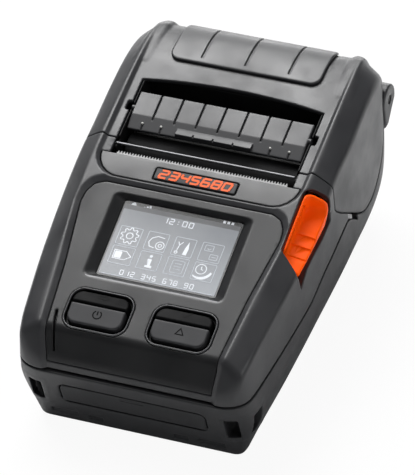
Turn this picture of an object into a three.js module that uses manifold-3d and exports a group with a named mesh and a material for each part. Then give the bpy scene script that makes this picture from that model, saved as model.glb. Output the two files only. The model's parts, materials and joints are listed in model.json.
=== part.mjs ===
// Portable label printer with a hinged media cover, in millimetres.
// +X is the printer's right, +Y its rear and +Z up; the origin is the middle of its footprint.
import * as THREE from "three";
import { mergeVertices } from "three/addons/utils/BufferGeometryUtils.js";
import { ConvexGeometry } from "three/addons/geometries/ConvexGeometry.js";
import Module from "manifold-3d";

const wasm = await Module();
wasm.setup();

// Overall size
const LENGTH = 131;
const WIDTH = 84;
const HEIGHT = 63;
const FRONT = -LENGTH / 2;
const REAR = LENGTH / 2;
const HALF = WIDTH / 2;

// Clearances and walls
const WALL = 2.4;
const SEAM = 0.4;
const FIT = 0.3;
const OVERRUN = 5;

// Media and window
const MEDIA_WIDTH = 58;
const WINDOW_SIDE = 1.5;
const WINDOW_HALF = MEDIA_WIDTH / 2 + WINDOW_SIDE;
const WINDOW_ARCH = 2.4;
const DECK_DROP = 1;
const DECK_MARGIN = 2.8;
const NOTCH_DEPTH = 1.4;
const NOTCH_LENGTH = 3.4;
const WINDOW_STEPS = 12;
const DECK_RADIUS = 8;

// Lines along the body: shares of its length, and distances from these lines
const PANEL_START_SHARE = 0.0466;
const COVER_START_SHARE = 0.571;
const WINDOW_END_SHARE = 0.744;
const TEAR_TO_COVER = 6.2;
const DECK_TO_TEAR = 8.1;
const PEELER_FROM_COVER = 12.2;
const HINGE_FROM_REAR = 5;
const HINGE_UNDER_TOP = 20;
const FRONT_LEAN = 4;
const LEAN_REACH = 20.5;

// Profile of the body: places are shares of the length, heights shares of the height
const TOP_SHARES = [
  [0, 0.413], [0.006, 0.452], [0.0466, 0.612], [0.5, 0.866], [0.571, 0.893], [0.653, 0.925],
  [0.744, 0.962], [0.821, 0.989], [0.89, 1], [0.93, 0.988], [0.956, 0.955], [0.98, 0.89],
  [0.994, 0.81], [1, 0.72],
];
const BASE_SHARES = [
  [0, 0], [0.76, 0], [0.82, 0.015], [0.88, 0.068], [0.93, 0.15], [0.965, 0.25], [0.99, 0.38], [1, 0.5],
];
const RIM_SHARES = [
  [0, 0.62], [0.02, 0.7], [0.06, 0.745], [0.2, 0.79], [0.385, 0.838], [0.571, 0.845],
  [0.744, 0.838], [0.9, 0.81], [0.96, 0.76], [1, 0.64],
];
const SHOULDER_SHARES = [
  [0, 0.75], [0.008, 0.81], [0.025, 0.868], [0.04, 0.89], [0.08, 0.908], [0.12, 0.921], [0.2, 0.95],
  [0.28, 0.978], [0.36, 0.996], [0.44, 1], [0.52, 1], [0.6, 0.992], [0.7, 1], [0.8, 0.992],
  [0.88, 0.985], [0.92, 0.976], [0.95, 0.955], [0.975, 0.895], [1, 0.76],
];
const SHOULDER_HEIGHT_SHARES = [
  [0, 0.415], [0.025, 0.51], [0.04, 0.547], [0.08, 0.585], [0.12, 0.602], [0.2, 0.637], [0.28, 0.662],
  [0.36, 0.693], [0.4, 0.72], [0.44, 0.744], [0.48, 0.769], [0.52, 0.793], [0.56, 0.815], [0.6, 0.828],
  [0.64, 0.841], [0.7, 0.858], [0.8, 0.9], [0.86, 0.904], [0.92, 0.88], [0.95, 0.835], [0.975, 0.76],
  [1, 0.69],
];
const WAIST_SHARES = [
  [0, 0.755], [0.008, 0.825], [0.025, 0.885], [0.045, 0.911], [0.19, 0.938], [0.44, 0.974],
  [0.62, 0.986], [0.73, 0.995], [0.88, 0.99], [0.935, 0.952], [0.97, 0.88], [1, 0.74],
];
const BELLY_SHARES = [
  [0, 0.785], [0.008, 0.855], [0.025, 0.912], [0.05, 0.942], [0.19, 0.96], [0.47, 0.986], [0.6, 0.99],
  [0.7, 0.984], [0.88, 0.982], [0.935, 0.935], [0.97, 0.86], [1, 0.73],
];
const FOOT_SHARES = [
  [0, 0.755], [0.015, 0.79], [0.04, 0.803], [0.12, 0.803], [0.2, 0.812], [0.28, 0.821], [0.44, 0.826],
  [0.52, 0.822], [0.6, 0.81], [0.7, 0.795], [0.76, 0.79], [0.9, 0.785], [0.96, 0.73], [1, 0.66],
];
const BELLY_HEIGHT = 15;
const WAIST_OVER_BELLY = 9.5;
const FOOT_CHAMFER = 1.3;

// Seam between cover and housings, in shares of length and height
const COVER_SEAM_SHARES = [
  [0.571, 0.655], [0.704, 0.397], [0.735, 0.347], [0.767, 0.324], [0.8, 0.333], [0.848, 0.4], [0.888, 0.49],
];
const COVER_SEAM_END_SHARE = 0.915;
const SIDE_SEAM_SHARES = [[0, 0.389], [0.45, 0.389], [0.64, 0.445], [0.69, 0.43]];

// Control panel, in its own plane: s runs rearward from the panel's front edge, n is its normal
const PANEL_OUTLINE_SHARES = [
  [0.0085, 0.64], [0.04, 0.67], [0.22, 0.72], [0.38, 0.79], [0.408, 0.78], [0.432, 0.74], [0.444, 0.66],
];
const PANEL_DROP = 1;
const PANEL_FLANGE = 1.2;
const FLANGE_REACH = 1.8;
const FLANGE_LIMIT = 33.8;
const PANEL_SKIRT = 3;
const SCREEN_START = 22.2;
const SCREEN_LENGTH = 27;
const SCREEN_WIDTH = 38.6;
const RECESS_MARGIN = 3.6;
const RECESS_FRONT = 1.4;
const RECESS_REAR = 1.8;
const LENS_THICKNESS = 1;
const DISPLAY_MARGIN = 2.2;
const DISPLAY_THICKNESS = 3;
const KEY_FRAME_START = 1.4;
const KEY_FRAME_LENGTH = 14.6;
const KEY_FRAME_WIDTH = 21.2;
const KEY_FRAME_GAP = 6.2;
const KEY_FRAME_BAND = 1.3;
const KEY_FRAME_RADIUS = 4.4;
const KEY_FRAME_RISE = 0.6;
const KEY_FRAME_SINK = 0.6;
const KEY_SPLIT = 0.2;
const KEY_LOW_RISE = 1.2;
const KEY_HIGH_RISE = 1.7;
const KEY_BEVEL = 0.5;
const KEY_TRAVEL = 0.8;
const KEY_FLANGE = 0.8;
const KEY_FLANGE_THICKNESS = 0.9;
const KEY_STEM = 1.2;
const BOARD_THICKNESS = 1.4;
const DOME_RADIUS = 2;
const DOME_HEIGHT = 0.5;
const POST_RADIUS = 1.5;
const BOARD_POST = 26;

// Paper path
const TEAR_PLATE_DEPTH = 2.1;
const TEAR_BAR_SEAT = 2.4;
const TEAR_SHELF = 3.2;
const SHELF_THICKNESS = 1.8;
const SHELF_HALF = 31.5;
const TEAR_BAR_THICKNESS = 0.5;
const TEAR_TOOTH = 0.7;
const TEAR_PITCH = 1.5;
const NAMEPLATE_LENGTH = 27;
const NAMEPLATE_DEPTH = 3.8;
const NAMEPLATE_RISE = 0.3;
const NAMEPLATE_MARGIN = 2.6;
const PLATEN_FROM_SEAM = 3.9;
const PLATEN_UNDER_TOP = 10.49;
const PLATEN_RADIUS = 5.2;
const SHAFT_RADIUS = 1.5;
const SHAFT_END_RADIUS = 1;
const SHAFT_PAST = 1.2;
const ROLLER_MARGIN = 0.5;
const CHEEK = 1.3;
const BUSH_RADIUS = 2.6;
const BUSH_LENGTH = 2;
const PEEL_BAR_SIZE = 1.2;
const PEEL_BAR_FROM_TEAR = 3.2;
const PEELER_FRONT = 7.6;
const PEELER_REAR = 5.6;
const PEELER_THICKNESS = 1.8;
const PEELER_PIN_RADIUS = 0.9;
const PEELER_SINK = 0.9;
const PEELER_NOSE_DROP = 1;
const PEELER_TAIL_RISE = 2.2;
const PEELER_GROOVES = 7;
const PEELER_GROOVE_WIDTH = 0.5;
const PEELER_GROOVE_DEPTH = 0.5;
const FRAME_FLOOR = 1.5;
const FRAME_RISE = 1.4;
const TIP_START = 3.1;
const TIP_OVER_PLATEN = 7.1;

// Gear train
const MODULE = 0.5;
const PINION_TEETH = 12;
const IDLER_TEETH = 30;
const GEAR_WIDTH = 1.8;
const GEAR_PLACE = 36.2;
const IDLER_PIN_RADIUS = 1.2;
const MESH_SLACK = 0.12;
const IDLER_ANGLE = (-91 * Math.PI) / 180;
const MOTOR_ANGLE = (-120 * Math.PI) / 180;
const MOTOR_RADIUS = 7.2;
const MOTOR_LENGTH = 14;
const MOTOR_SHAFT_RADIUS = 1;

// Chassis and latch
const CHASSIS_HALF = 34.8;
const CHASSIS_WALL = 1.6;
const CHASSIS_FLOOR = 18.4;
const SIDE_UNDER_PLATEN = 6.5;
const CHASSIS_REACH = 21;
const BULKHEAD_UNDER_PLATEN = 7;
const LATCH_FROM_COVER = 12.5;
const LATCH_HEIGHT = 26;
const LATCH_SHAFT_RADIUS = 1.5;
const HOOK_THICKNESS = 1.3;
const HOOK_PLACE = 31.1;
const HOOK_WIDTH = 2.4;
const HOOK_GAP = 0.6;
const HOOK_UNDER_PLATEN = 11;
const LEVER_GAP = 0.8;
const LEVER_RIM = 1.3;
const LEVER_TRAVEL = 2.2;
const LEVER_ARM = 1.8;
const ARM_UNDER_CENTRE = 3.7;
const ARM_PLACE = 35.4;
const ARM_HALF = 3.2;
const SHOULDER_NORMAL = [0.79, -0.153, 0.593];
const LEVER_SHARES = [
  [0.846, 0.516, 0.871], [0.838, 0.358, 0.783], [0.982, 0.329, 0.681], [0.985, 0.333, 0.676],
  [0.996, 0.498, 0.695], [0.997, 0.533, 0.749],
];
const LEVER_BACK_SHARES = [
  [0.776, 0.523, 0.752], [0.814, 0.374, 0.714], [0.881, 0.363, 0.638], [0.819, 0.535, 0.689],
];
const SCOOP_SHARES = [[0.829, 0.505, 0.748], [0.917, 0.38, 0.681]];

// Print head
const HEAD_FROM_COVER = 7.9;
const HEATSINK = 2.4;
const HEAD_UNDER_PLATEN = 8.5;
const HEAD_OVER_PLATEN = 3.5;
const HEAD_MARGIN = 3.5;
const HEAD_SPRING_LENGTH = 6;
const HEAD_SPRING_RADIUS = 2;
const HEAD_SPRING_WIRE = 0.3;
const HEAD_SPRING_TURNS = 4;

// Media guides
const GUIDE_THICKNESS = 1.8;
const GUIDE_HEIGHT = 34;
const GUIDE_LENGTH = 17;
const GUIDE_HUB_RADIUS = 5;
const GUIDE_HUB_DEPTH = 2;
const RACK_MODULE = 1;
const RACK_TEETH = 12;
const RACK_HEIGHT = 2.2;
const RACK_BACK = 2.2;
const RACK_SLACK = 0.16;
const GUIDE_PLACE_SHARE = 0.794;
const GUIDE_LIFT = 0.49;
const RAIL_HALF = 33;
const GUIDE_AXIS_HEIGHT = 25;

// Base
const BATTERY_START = 11;
const BATTERY_LENGTH = 66;
const BATTERY_WIDTH = 54;
const BATTERY_HEIGHT = 15;
const BATTERY_LIFT = 0.8;
const BAY_WALL = 1.6;
const BATTERY_GAP = 0.5;
const CATCH_WIDTH = 16;
const CATCH_LENGTH = 4.6;
const CATCH_TRAVEL = 2.4;
const CATCH_THICKNESS = 1.7;
const CATCH_TONGUE = 10;
const CATCH_GAP = 1.4;
const CATCH_LIP = 1.6;
const CATCH_LIP_THICKNESS = 1;
const TONGUE_REACH = 1.8;
const PORT_WIDTH = 48;
const PORT_HEIGHT = 8;
const PORT_BASE = 10.5;
const PORT_THICKNESS = 1.3;
const PORT_RADIUS = 2;
const PORT_PIN = 1.2;
const PORT_LIP = 2;
const SOCKET_PLACE = -14;
const SOCKET_WIDTH = 9;
const SOCKET_START = 4.6;
const SOCKET_LENGTH = 4;
const SOCKET_BASE = 12.9;
const SOCKET_HEIGHT = 3.2;
const SOCKET_WALL = 0.5;
const LOOP_PLACE = 30.2;
const LOOP_SLOT_WIDTH = 4.4;
const LOOP_SLOT_HEIGHT = 8.5;
const LOOP_SLOT_BASE = 9.5;
const LOOP_POST = 4.6;
const LOOP_DEPTH = 6;
const MAIN_BOARD_HEIGHT = 20;
const BOARD_START = 5.5;
const BOARD_LENGTH = 46;
const BOARD_HALF = 28.4;
const BOSS_RADIUS = 2.6;
const BOSS_PLACE = 32.1;
const BOSS_FRONT = 19;
const BOSS_REAR = 40;
const BOSS_JOINT = 15.5;
const SCREW_GRIP = 8;
const SCREW_SEAT = 9.6;
const TAB_START_SHARE = 0.641;
const TAB_LENGTH = 7.6;
const TAB_OVER_SEAM = 1.7;
const TAB_RISE = 2.8;
const SCREW_RADIUS = 1.4;
const SCREW_HEAD_RADIUS = 2.1;
const SCREW_HEAD = 1.4;
const SCREW_LENGTH = 9;

// Hinge
const BARREL_RADIUS = 4.6;
const COVER_TAIL = 2;
const INLAY_START_SHARE = 0.8137;
const INLAY_END_SHARE = 0.9725;
const INLAY_HALF = 25.4;
const INLAY_RADIUS = 3.4;
const INLAY_GROOVE = 0.9;
const INLAY_DEPTH = 0.9;
const INLAY_PITCH = 14.6;
const GROOVE_WIDTH = 0.6;
const GROOVE_DEPTH = 0.5;
const HINGE_PIN_RADIUS = 1.2;
const EAR_WIDTH = 6.2;
const EAR_RADIUS = 5;
const EAR_OUTER = 40.6;
const EAR_STEPS = 24;
const REAR_WALL_UNDER_HINGE = 5.8;

// Colours, as the pieces look under plain light
const PLASTIC = { color: 0x3c3d40, roughness: 0.55, metalness: 0 };
const DARK_PLASTIC = { color: 0x1a1a1b, roughness: 0.5, metalness: 0 };
const GLOSS_BLACK = { color: 0x0b0b0c, roughness: 0.15, metalness: 0 };
const ORANGE = { color: 0xff4a0c, roughness: 0.45, metalness: 0 };
const RUBBER = { color: 0x1d1d1e, roughness: 0.85, metalness: 0 };
const STEEL = { color: 0xb6b8ba, roughness: 0.3, metalness: 1 };
const SCREEN = { color: 0x9aa6b2, roughness: 0.1, metalness: 0 };
const BOARD = { color: 0x1d5b3a, roughness: 0.5, metalness: 0 };
const NATURAL = { color: 0xc9c8c2, roughness: 0.5, metalness: 0 };

const printer = new THREE.Group();

// A closed three.js geometry as a solid for cutting and joining
function solid(geometry) {
  const plain = geometry.clone();
  plain.deleteAttribute("normal");
  plain.deleteAttribute("uv");
  const merged = mergeVertices(plain, 1e-4);
  return new wasm.Manifold(
    new wasm.Mesh({
      numProp: 3,
      vertProperties: Float32Array.from(merged.attributes.position.array),
      triVerts: Uint32Array.from(merged.index.array),
    }),
  );
}

// A solid back as a three.js geometry
function geometryOf(made) {
  const mesh = made.getMesh();
  const geometry = new THREE.BufferGeometry();
  geometry.setAttribute("position", new THREE.BufferAttribute(mesh.vertProperties, mesh.numProp));
  geometry.setIndex(new THREE.BufferAttribute(mesh.triVerts, 1));
  geometry.computeVertexNormals();
  return geometry;
}

function add(name, made, look) {
  const mesh = new THREE.Mesh(geometryOf(made), new THREE.MeshStandardMaterial(look));
  mesh.name = name;
  printer.add(mesh);
  return mesh;
}

function union(...solids) {
  return solids.reduce((all, one) => all.add(one));
}

function cut(from, ...tools) {
  return tools.reduce((left, tool) => left.subtract(tool), from);
}

function box(x0, x1, y0, y1, z0, z1) {
  const geometry = new THREE.BoxGeometry(x1 - x0, y1 - y0, z1 - z0);
  geometry.translate((x0 + x1) / 2, (y0 + y1) / 2, (z0 + z1) / 2);
  return solid(geometry);
}

// An outline given in two coordinates, stretched along the third
function extrude(points, low, high, matrix) {
  const shape = new THREE.Shape(points.map(([a, b]) => new THREE.Vector2(a, b)));
  const geometry = new THREE.ExtrudeGeometry(shape, { depth: high - low, bevelEnabled: false });
  geometry.translate(0, 0, low);
  geometry.applyMatrix4(matrix);
  return solid(geometry);
}

const ALONG_X = new THREE.Matrix4().makeBasis(
  new THREE.Vector3(0, 1, 0), new THREE.Vector3(0, 0, 1), new THREE.Vector3(1, 0, 0),
);
const ALONG_Z = new THREE.Matrix4();
const FACING_FRONT = new THREE.Matrix4().makeRotationX(Math.PI / 2);

// points are [y, z]
function prismX(points, x0, x1) {
  return extrude(points, x0, x1, ALONG_X);
}

// points are [x, y]
function prismZ(points, z0, z1) {
  return extrude(points, z0, z1, ALONG_Z);
}

function cylinderX(y, z, radius, x0, x1, sides = 20) {
  const geometry = new THREE.CylinderGeometry(radius, radius, x1 - x0, sides);
  geometry.rotateZ(Math.PI / 2);
  geometry.translate((x0 + x1) / 2, y, z);
  return solid(geometry);
}

function cylinderZ(x, y, radius, z0, z1, sides = 20) {
  const geometry = new THREE.CylinderGeometry(radius, radius, z1 - z0, sides);
  geometry.rotateX(Math.PI / 2);
  geometry.translate(x, y, (z0 + z1) / 2);
  return solid(geometry);
}

function hull(points) {
  return solid(new ConvexGeometry(points.map((p) => new THREE.Vector3(...p))));
}

function mirrored(points) {
  return points.map(([x, ...rest]) => [-x, ...rest]);
}

// A table of [place, value] read at a place
function along(table, place) {
  if (place <= table[0][0]) return table[0][1];
  for (let i = 1; i < table.length; i++) {
    const [start, from] = table[i - 1];
    const [end, to] = table[i];
    if (place <= end) return from + ((to - from) * (place - start)) / (end - start);
  }
  return table[table.length - 1][1];
}

const at = (distance) => FRONT + distance;
const atShare = (part) => FRONT + part * LENGTH;
const share = (y) => (y - FRONT) / LENGTH;

// The body's outer form: sections across the body, drawn in by an inset
const topAt = (y) => HEIGHT * along(TOP_SHARES, share(y));
const baseAt = (y) => HEIGHT * along(BASE_SHARES, share(y));
const SEAM_HEIGHT = HEIGHT * SIDE_SEAM_SHARES[0][1];

function section(y, inset) {
  const steps = inset > 0 ? [y - inset, y, y + inset] : [y];
  const least = (table) => Math.min(...steps.map((v) => along(table, share(v)))) * HALF - inset;
  const top = Math.min(topAt(y) - inset, ...steps.map(topAt));
  const base = Math.max(baseAt(y) + inset, ...steps.map(baseAt));
  const rise = Math.min(BELLY_HEIGHT, (top - base) * 0.42);
  const belly = Math.max(base + rise, inset > 0 ? base + FOOT_CHAMFER * 2 : 0);
  const shoulder = Math.min(
    HEIGHT * along(SHOULDER_HEIGHT_SHARES, share(y)) - inset * 0.4,
    top - FOOT_CHAMFER / 2,
  );
  const waist = Math.min(Math.max(SEAM_HEIGHT, baseAt(y) + BELLY_HEIGHT + WAIST_OVER_BELLY / 2),
    (belly + shoulder) / 2 + WAIST_OVER_BELLY / 8);
  const rim = least(RIM_SHARES) + inset * 0.45;
  const edge = least(SHOULDER_SHARES);
  const foot = Math.min(least(FOOT_SHARES) + inset * 0.4, least(BELLY_SHARES) - FOOT_CHAMFER);
  const soft = [rim + (edge - rim) * 0.42, top - (top - shoulder) * 0.3];
  return [
    [rim, top],
    soft,
    [edge - (edge - rim) * 0.06, shoulder + (top - shoulder) * 0.14],
    [edge, shoulder - FOOT_CHAMFER],
    [least(WAIST_SHARES), waist],
    [least(BELLY_SHARES), belly],
    [foot + FOOT_CHAMFER * 0.6, base + FOOT_CHAMFER],
    [foot - FOOT_CHAMFER * 0.4, base],
  ];
}

const STATION_SHARES = [
  0, 0.006, 0.0135, 0.0225, 0.035, 0.0466, 0.06, 0.12, 0.19, 0.3, 0.385, 0.44, 0.5, 0.54, 0.571,
  0.61, 0.653, 0.7, 0.744, 0.785, 0.821, 0.86, 0.89, 0.91, 0.93, 0.945, 0.957, 0.97, 0.982, 0.992, 1,
];

// Lean of the lower front face: it is set back towards the table
function lean(y, z) {
  const near = Math.max(0, Math.min(1, (FRONT + LEAN_REACH - y) / LEAN_REACH));
  const low = Math.max(0, SEAM_HEIGHT - z) / SEAM_HEIGHT;
  return y + near * low * FRONT_LEAN;
}

function form(inset) {
  const first = FRONT + inset;
  const last = REAR - inset;
  const places = STATION_SHARES.map((s) => first + (last - first) * s);
  const rings = places.map((y) => {
    const half = section(y, inset);
    const left = [...half].reverse().map(([x, z]) => [-x, z]);
    return [...half, ...left].map(([x, z]) => [x, lean(y, z), z]);
  });
  const count = rings[0].length;
  const positions = rings.flat(2);
  const faces = [];
  for (let i = 0; i + 1 < rings.length; i++) {
    for (let k = 0; k < count; k++) {
      const next = (k + 1) % count;
      const a = i * count + k;
      const b = i * count + next;
      const c = (i + 1) * count + next;
      const d = (i + 1) * count + k;
      faces.push(a, b, c, a, c, d);
    }
  }
  const capShape = (ring) => ring.map(([x, , z]) => new THREE.Vector2(x, z));
  const cap = THREE.ShapeUtils.triangulateShape(capShape(rings[0]), []);
  const endCap = THREE.ShapeUtils.triangulateShape(capShape(rings[rings.length - 1]), []);
  const end = (rings.length - 1) * count;
  cap.forEach(([a, b, c]) => faces.push(a, b, c));
  endCap.forEach(([a, b, c]) => faces.push(end + a, end + c, end + b));
  const geometry = new THREE.BufferGeometry();
  geometry.setAttribute("position", new THREE.Float32BufferAttribute(positions, 3));
  geometry.setIndex(faces);
  return solid(geometry);
}

const OUTER = form(0);
const INNER = form(WALL);
const SHELL = cut(OUTER, INNER);
const DECK = form(DECK_DROP);

// Places in the body that several pieces share
const COVER_Y = atShare(COVER_START_SHARE);
const TEAR_Y = COVER_Y - TEAR_TO_COVER;
const WINDOW_REAR = atShare(WINDOW_END_SHARE);
const DECK_FRONT = TEAR_Y - DECK_TO_TEAR;
const HINGE_Y = REAR - HINGE_FROM_REAR;
const HINGE_HEIGHT = HEIGHT - HINGE_UNDER_TOP;
const REAR_WALL_TOP = HINGE_HEIGHT - REAR_WALL_UNDER_HINGE;
const PEELER_Y = COVER_Y + PEELER_FROM_COVER;
const PEELER_Z = topAt(PEELER_Y) - DECK_DROP - PEELER_SINK;
const PLATEN_Y = COVER_Y + PLATEN_FROM_SEAM;
const PLATEN_HEIGHT = topAt(PLATEN_Y) - PLATEN_UNDER_TOP;
const TIP_HEIGHT = PLATEN_HEIGHT + TIP_OVER_PLATEN;
const SIDE_TOP = PLATEN_HEIGHT - SIDE_UNDER_PLATEN;
const BULKHEAD_TOP = PLATEN_HEIGHT - BULKHEAD_UNDER_PLATEN;
const HOOK_RISE = PLATEN_HEIGHT - HOOK_UNDER_PLATEN;
const LATCH_Y = COVER_Y - LATCH_FROM_COVER;
const HEAD_Y = COVER_Y - HEAD_FROM_COVER;
const HEAD_BASE = PLATEN_HEIGHT - HEAD_UNDER_PLATEN;
const HEAD_TOP = PLATEN_HEIGHT + HEAD_OVER_PLATEN;
const OVER = HEIGHT + OVERRUN;
const ACROSS = HALF + OVERRUN;

const inSize = (table) => table.map(([y, z]) => [atShare(y), z * HEIGHT]);

function roundedRect(x0, x1, y0, y1, radius, steps = 4) {
  const corners = [[x1, y1, 0], [x0, y1, 1], [x0, y0, 2], [x1, y0, 3]];
  return corners.flatMap(([x, y, quarter]) =>
    Array.from({ length: steps + 1 }, (_, i) => {
      const angle = ((quarter + i / steps) * Math.PI) / 2;
      const centreX = x + (x === x1 ? -radius : radius);
      const centreY = y + (y === y1 ? -radius : radius);
      return [centreX + radius * Math.cos(angle), centreY + radius * Math.sin(angle)];
    }),
  );
}

// A thin prism along a seam line drawn in the side view
function ribbon(points, width) {
  const offset = (side) =>
    points.map(([y, z], i) => {
      const [y0, z0] = points[Math.max(i - 1, 0)];
      const [y1, z1] = points[Math.min(i + 1, points.length - 1)];
      const length = Math.hypot(y1 - y0, z1 - z0);
      const half = (side * width) / 2 / length;
      return [y - (z1 - z0) * half, z + (y1 - y0) * half];
    });
  return prismX([...offset(1), ...offset(-1).reverse()], -ACROSS, ACROSS);
}

// Both halves of a pair: the piece and its mirror image
function pair(made) {
  return union(made, made.mirror([1, 0, 0]));
}

// Where each housing ends
const coverSeam = inSize(COVER_SEAM_SHARES);
const coverLine = [
  [COVER_Y, OVER], ...coverSeam,
  [atShare(COVER_SEAM_END_SHARE), REAR_WALL_TOP], [REAR + OVERRUN, REAR_WALL_TOP],
];
const COVER_REGION = prismX([...coverLine, [REAR + OVERRUN, OVER]], -ACROSS, ACROSS);
const sideSeam = inSize(SIDE_SEAM_SHARES);
const sideLine = [[FRONT - OVERRUN, sideSeam[0][1]], ...sideSeam];
const SIDE_END = sideSeam[sideSeam.length - 1];
const upperOutline = [...sideLine, [SIDE_END[0], OVER], [FRONT - OVERRUN, OVER]];
const UPPER_REGION = prismX(upperOutline, -ACROSS, ACROSS);
const SEAMS = union(ribbon(coverLine, SEAM), ribbon(sideLine, SEAM));

// Recessed deck around the tear plate and the window
const DECK_HALF = WINDOW_HALF + DECK_MARGIN;
const deckOutline = roundedRect(
  -DECK_HALF, DECK_HALF, DECK_FRONT, REAR + OVERRUN + DECK_RADIUS, DECK_RADIUS,
);
const DECK_RECESS = cut(prismZ(deckOutline, SEAM_HEIGHT, OVER), DECK);

// Window, arched at its rear edge, with a notch on each side for the peeler's pins
function windowOutline(front) {
  const arch = Array.from({ length: WINDOW_STEPS + 1 }, (_, i) => {
    const t = (i / WINDOW_STEPS) * 2 - 1;
    return [-t * WINDOW_HALF, WINDOW_REAR + WINDOW_ARCH * (1 - t * t)];
  });
  return [[-WINDOW_HALF, front], [WINDOW_HALF, front], ...arch];
}
const WINDOW = union(
  prismZ(windowOutline(TEAR_Y), PLATEN_HEIGHT, OVER),
  box(-WINDOW_HALF - NOTCH_DEPTH, WINDOW_HALF + NOTCH_DEPTH,
    PEELER_Y - NOTCH_LENGTH / 2, PEELER_Y + NOTCH_LENGTH / 2, PEELER_Z - NOTCH_LENGTH / 2, OVER),
);

// Control panel's own frame: x across, s rearward along the panel, n out of it
const PANEL_Y = atShare(PANEL_START_SHARE);
const PANEL_TILT = Math.atan2(topAt(0) - topAt(PANEL_Y), -PANEL_Y);
const PANEL_FRAME = new THREE.Matrix4()
  .makeTranslation(0, PANEL_Y, topAt(PANEL_Y) - PANEL_DROP)
  .multiply(new THREE.Matrix4().makeRotationX(PANEL_TILT));
const onPanel = (made) => made.transform(PANEL_FRAME.elements);
const PANEL_THICKNESS = (WALL + FIT + PANEL_FLANGE - PANEL_DROP) * Math.cos(PANEL_TILT);

function panelOutline(grow) {
  const right = PANEL_OUTLINE_SHARES.map(([y, x]) => [x * HALF + grow, atShare(y)]);
  right[0][1] -= grow;
  right[right.length - 1][1] += grow;
  return [...right, ...mirrored(right).reverse()];
}
const PANEL_BASE = SEAM_HEIGHT + PANEL_SKIRT;

// A slice of the body: everything between two depths and inside a plan outline
function plate(outline, high, low) {
  return cut(prismZ(outline, SEAM_HEIGHT, OVER).intersect(form(high)), form(low));
}

const keySpan = [
  [-KEY_FRAME_GAP / 2 - KEY_FRAME_WIDTH, -KEY_FRAME_GAP / 2],
  [KEY_FRAME_GAP / 2, KEY_FRAME_GAP / 2 + KEY_FRAME_WIDTH],
];
const KEY_FRAME_END = KEY_FRAME_START + KEY_FRAME_LENGTH;

function keyFrameOutline([x0, x1], inset) {
  return roundedRect(
    x0 + inset, x1 - inset, KEY_FRAME_START + inset, KEY_FRAME_END - inset, KEY_FRAME_RADIUS - inset,
  );
}

const SCREEN_END = SCREEN_START + SCREEN_LENGTH;
const LENS_TOP = -PANEL_THICKNESS + LENS_THICKNESS;

function controlPanel() {
  const outline = panelOutline(0);
  const skin = plate(outline, PANEL_DROP, WALL + FIT + PANEL_FLANGE);
  const flange = plate(panelOutline(FLANGE_REACH), WALL + FIT, WALL + FIT + PANEL_FLANGE);
  const kept = box(-FLANGE_LIMIT, FLANGE_LIMIT, FRONT, REAR, PANEL_BASE, OVER);
  const recessHalf = SCREEN_WIDTH / 2 + RECESS_MARGIN;
  const lensHalf = SCREEN_WIDTH / 2 + FIT;
  const recess = hull([-1, 1].flatMap((side) => [
    [side * recessHalf, SCREEN_START - RECESS_FRONT, 0],
    [side * recessHalf, SCREEN_END + RECESS_REAR, 0],
    [side * lensHalf, SCREEN_START - FIT, LENS_TOP - FIT],
    [side * lensHalf, SCREEN_END + FIT, LENS_TOP - FIT],
    [side * recessHalf, SCREEN_START - RECESS_FRONT, OVERRUN],
    [side * recessHalf, SCREEN_END + RECESS_REAR, OVERRUN],
  ]));
  const lensHole = box(
    -lensHalf, lensHalf, SCREEN_START - FIT, SCREEN_END + FIT, -PANEL_THICKNESS - OVERRUN, LENS_TOP,
  );
  const frameSeats = keySpan.map((span) =>
    prismZ(keyFrameOutline(span, -FIT), -KEY_FRAME_SINK - FIT, OVERRUN));
  const keyHoles = keySpan.map((span) =>
    prismZ(keyFrameOutline(span, KEY_FRAME_BAND), -PANEL_THICKNESS - OVERRUN, OVERRUN));
  const posts = boardPosts.map(([x, s]) =>
    cylinderZ(x, s, POST_RADIUS, KEY_BOARD_TOP + FIT, -PANEL_THICKNESS * 0.6, 12));
  const blank = union(skin, flange).intersect(kept);
  const flangeRooms = keySpan.map((span) => prismZ(
    keyFrameOutline(span, KEY_FRAME_BAND - KEY_FLANGE - FIT),
    -PANEL_THICKNESS - OVERRUN, -PANEL_THICKNESS - FIT / 2,
  ));
  const openings = [recess, lensHole, ...frameSeats, ...keyHoles, ...flangeRooms];
  return cut(union(blank, ...posts.map(onPanel)), ...openings.map(onPanel));
}

// Keypad under the panel
const FLANGE_TOP = -PANEL_THICKNESS - FIT;
const FLANGE_BASE = FLANGE_TOP - KEY_FLANGE_THICKNESS;
const STEM_BASE = FLANGE_BASE - KEY_STEM;
const DOME_TOP = STEM_BASE - KEY_TRAVEL - FIT;
const KEY_BOARD_TOP = DOME_TOP - DOME_HEIGHT;
const boardPosts = [
  [0, KEY_FRAME_START + POST_RADIUS], [0, KEY_FRAME_END - POST_RADIUS],
  [-BOARD_POST, KEY_FRAME_START + KEY_FRAME_LENGTH / 2], [BOARD_POST, KEY_FRAME_START + KEY_FRAME_LENGTH / 2],
];

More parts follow.
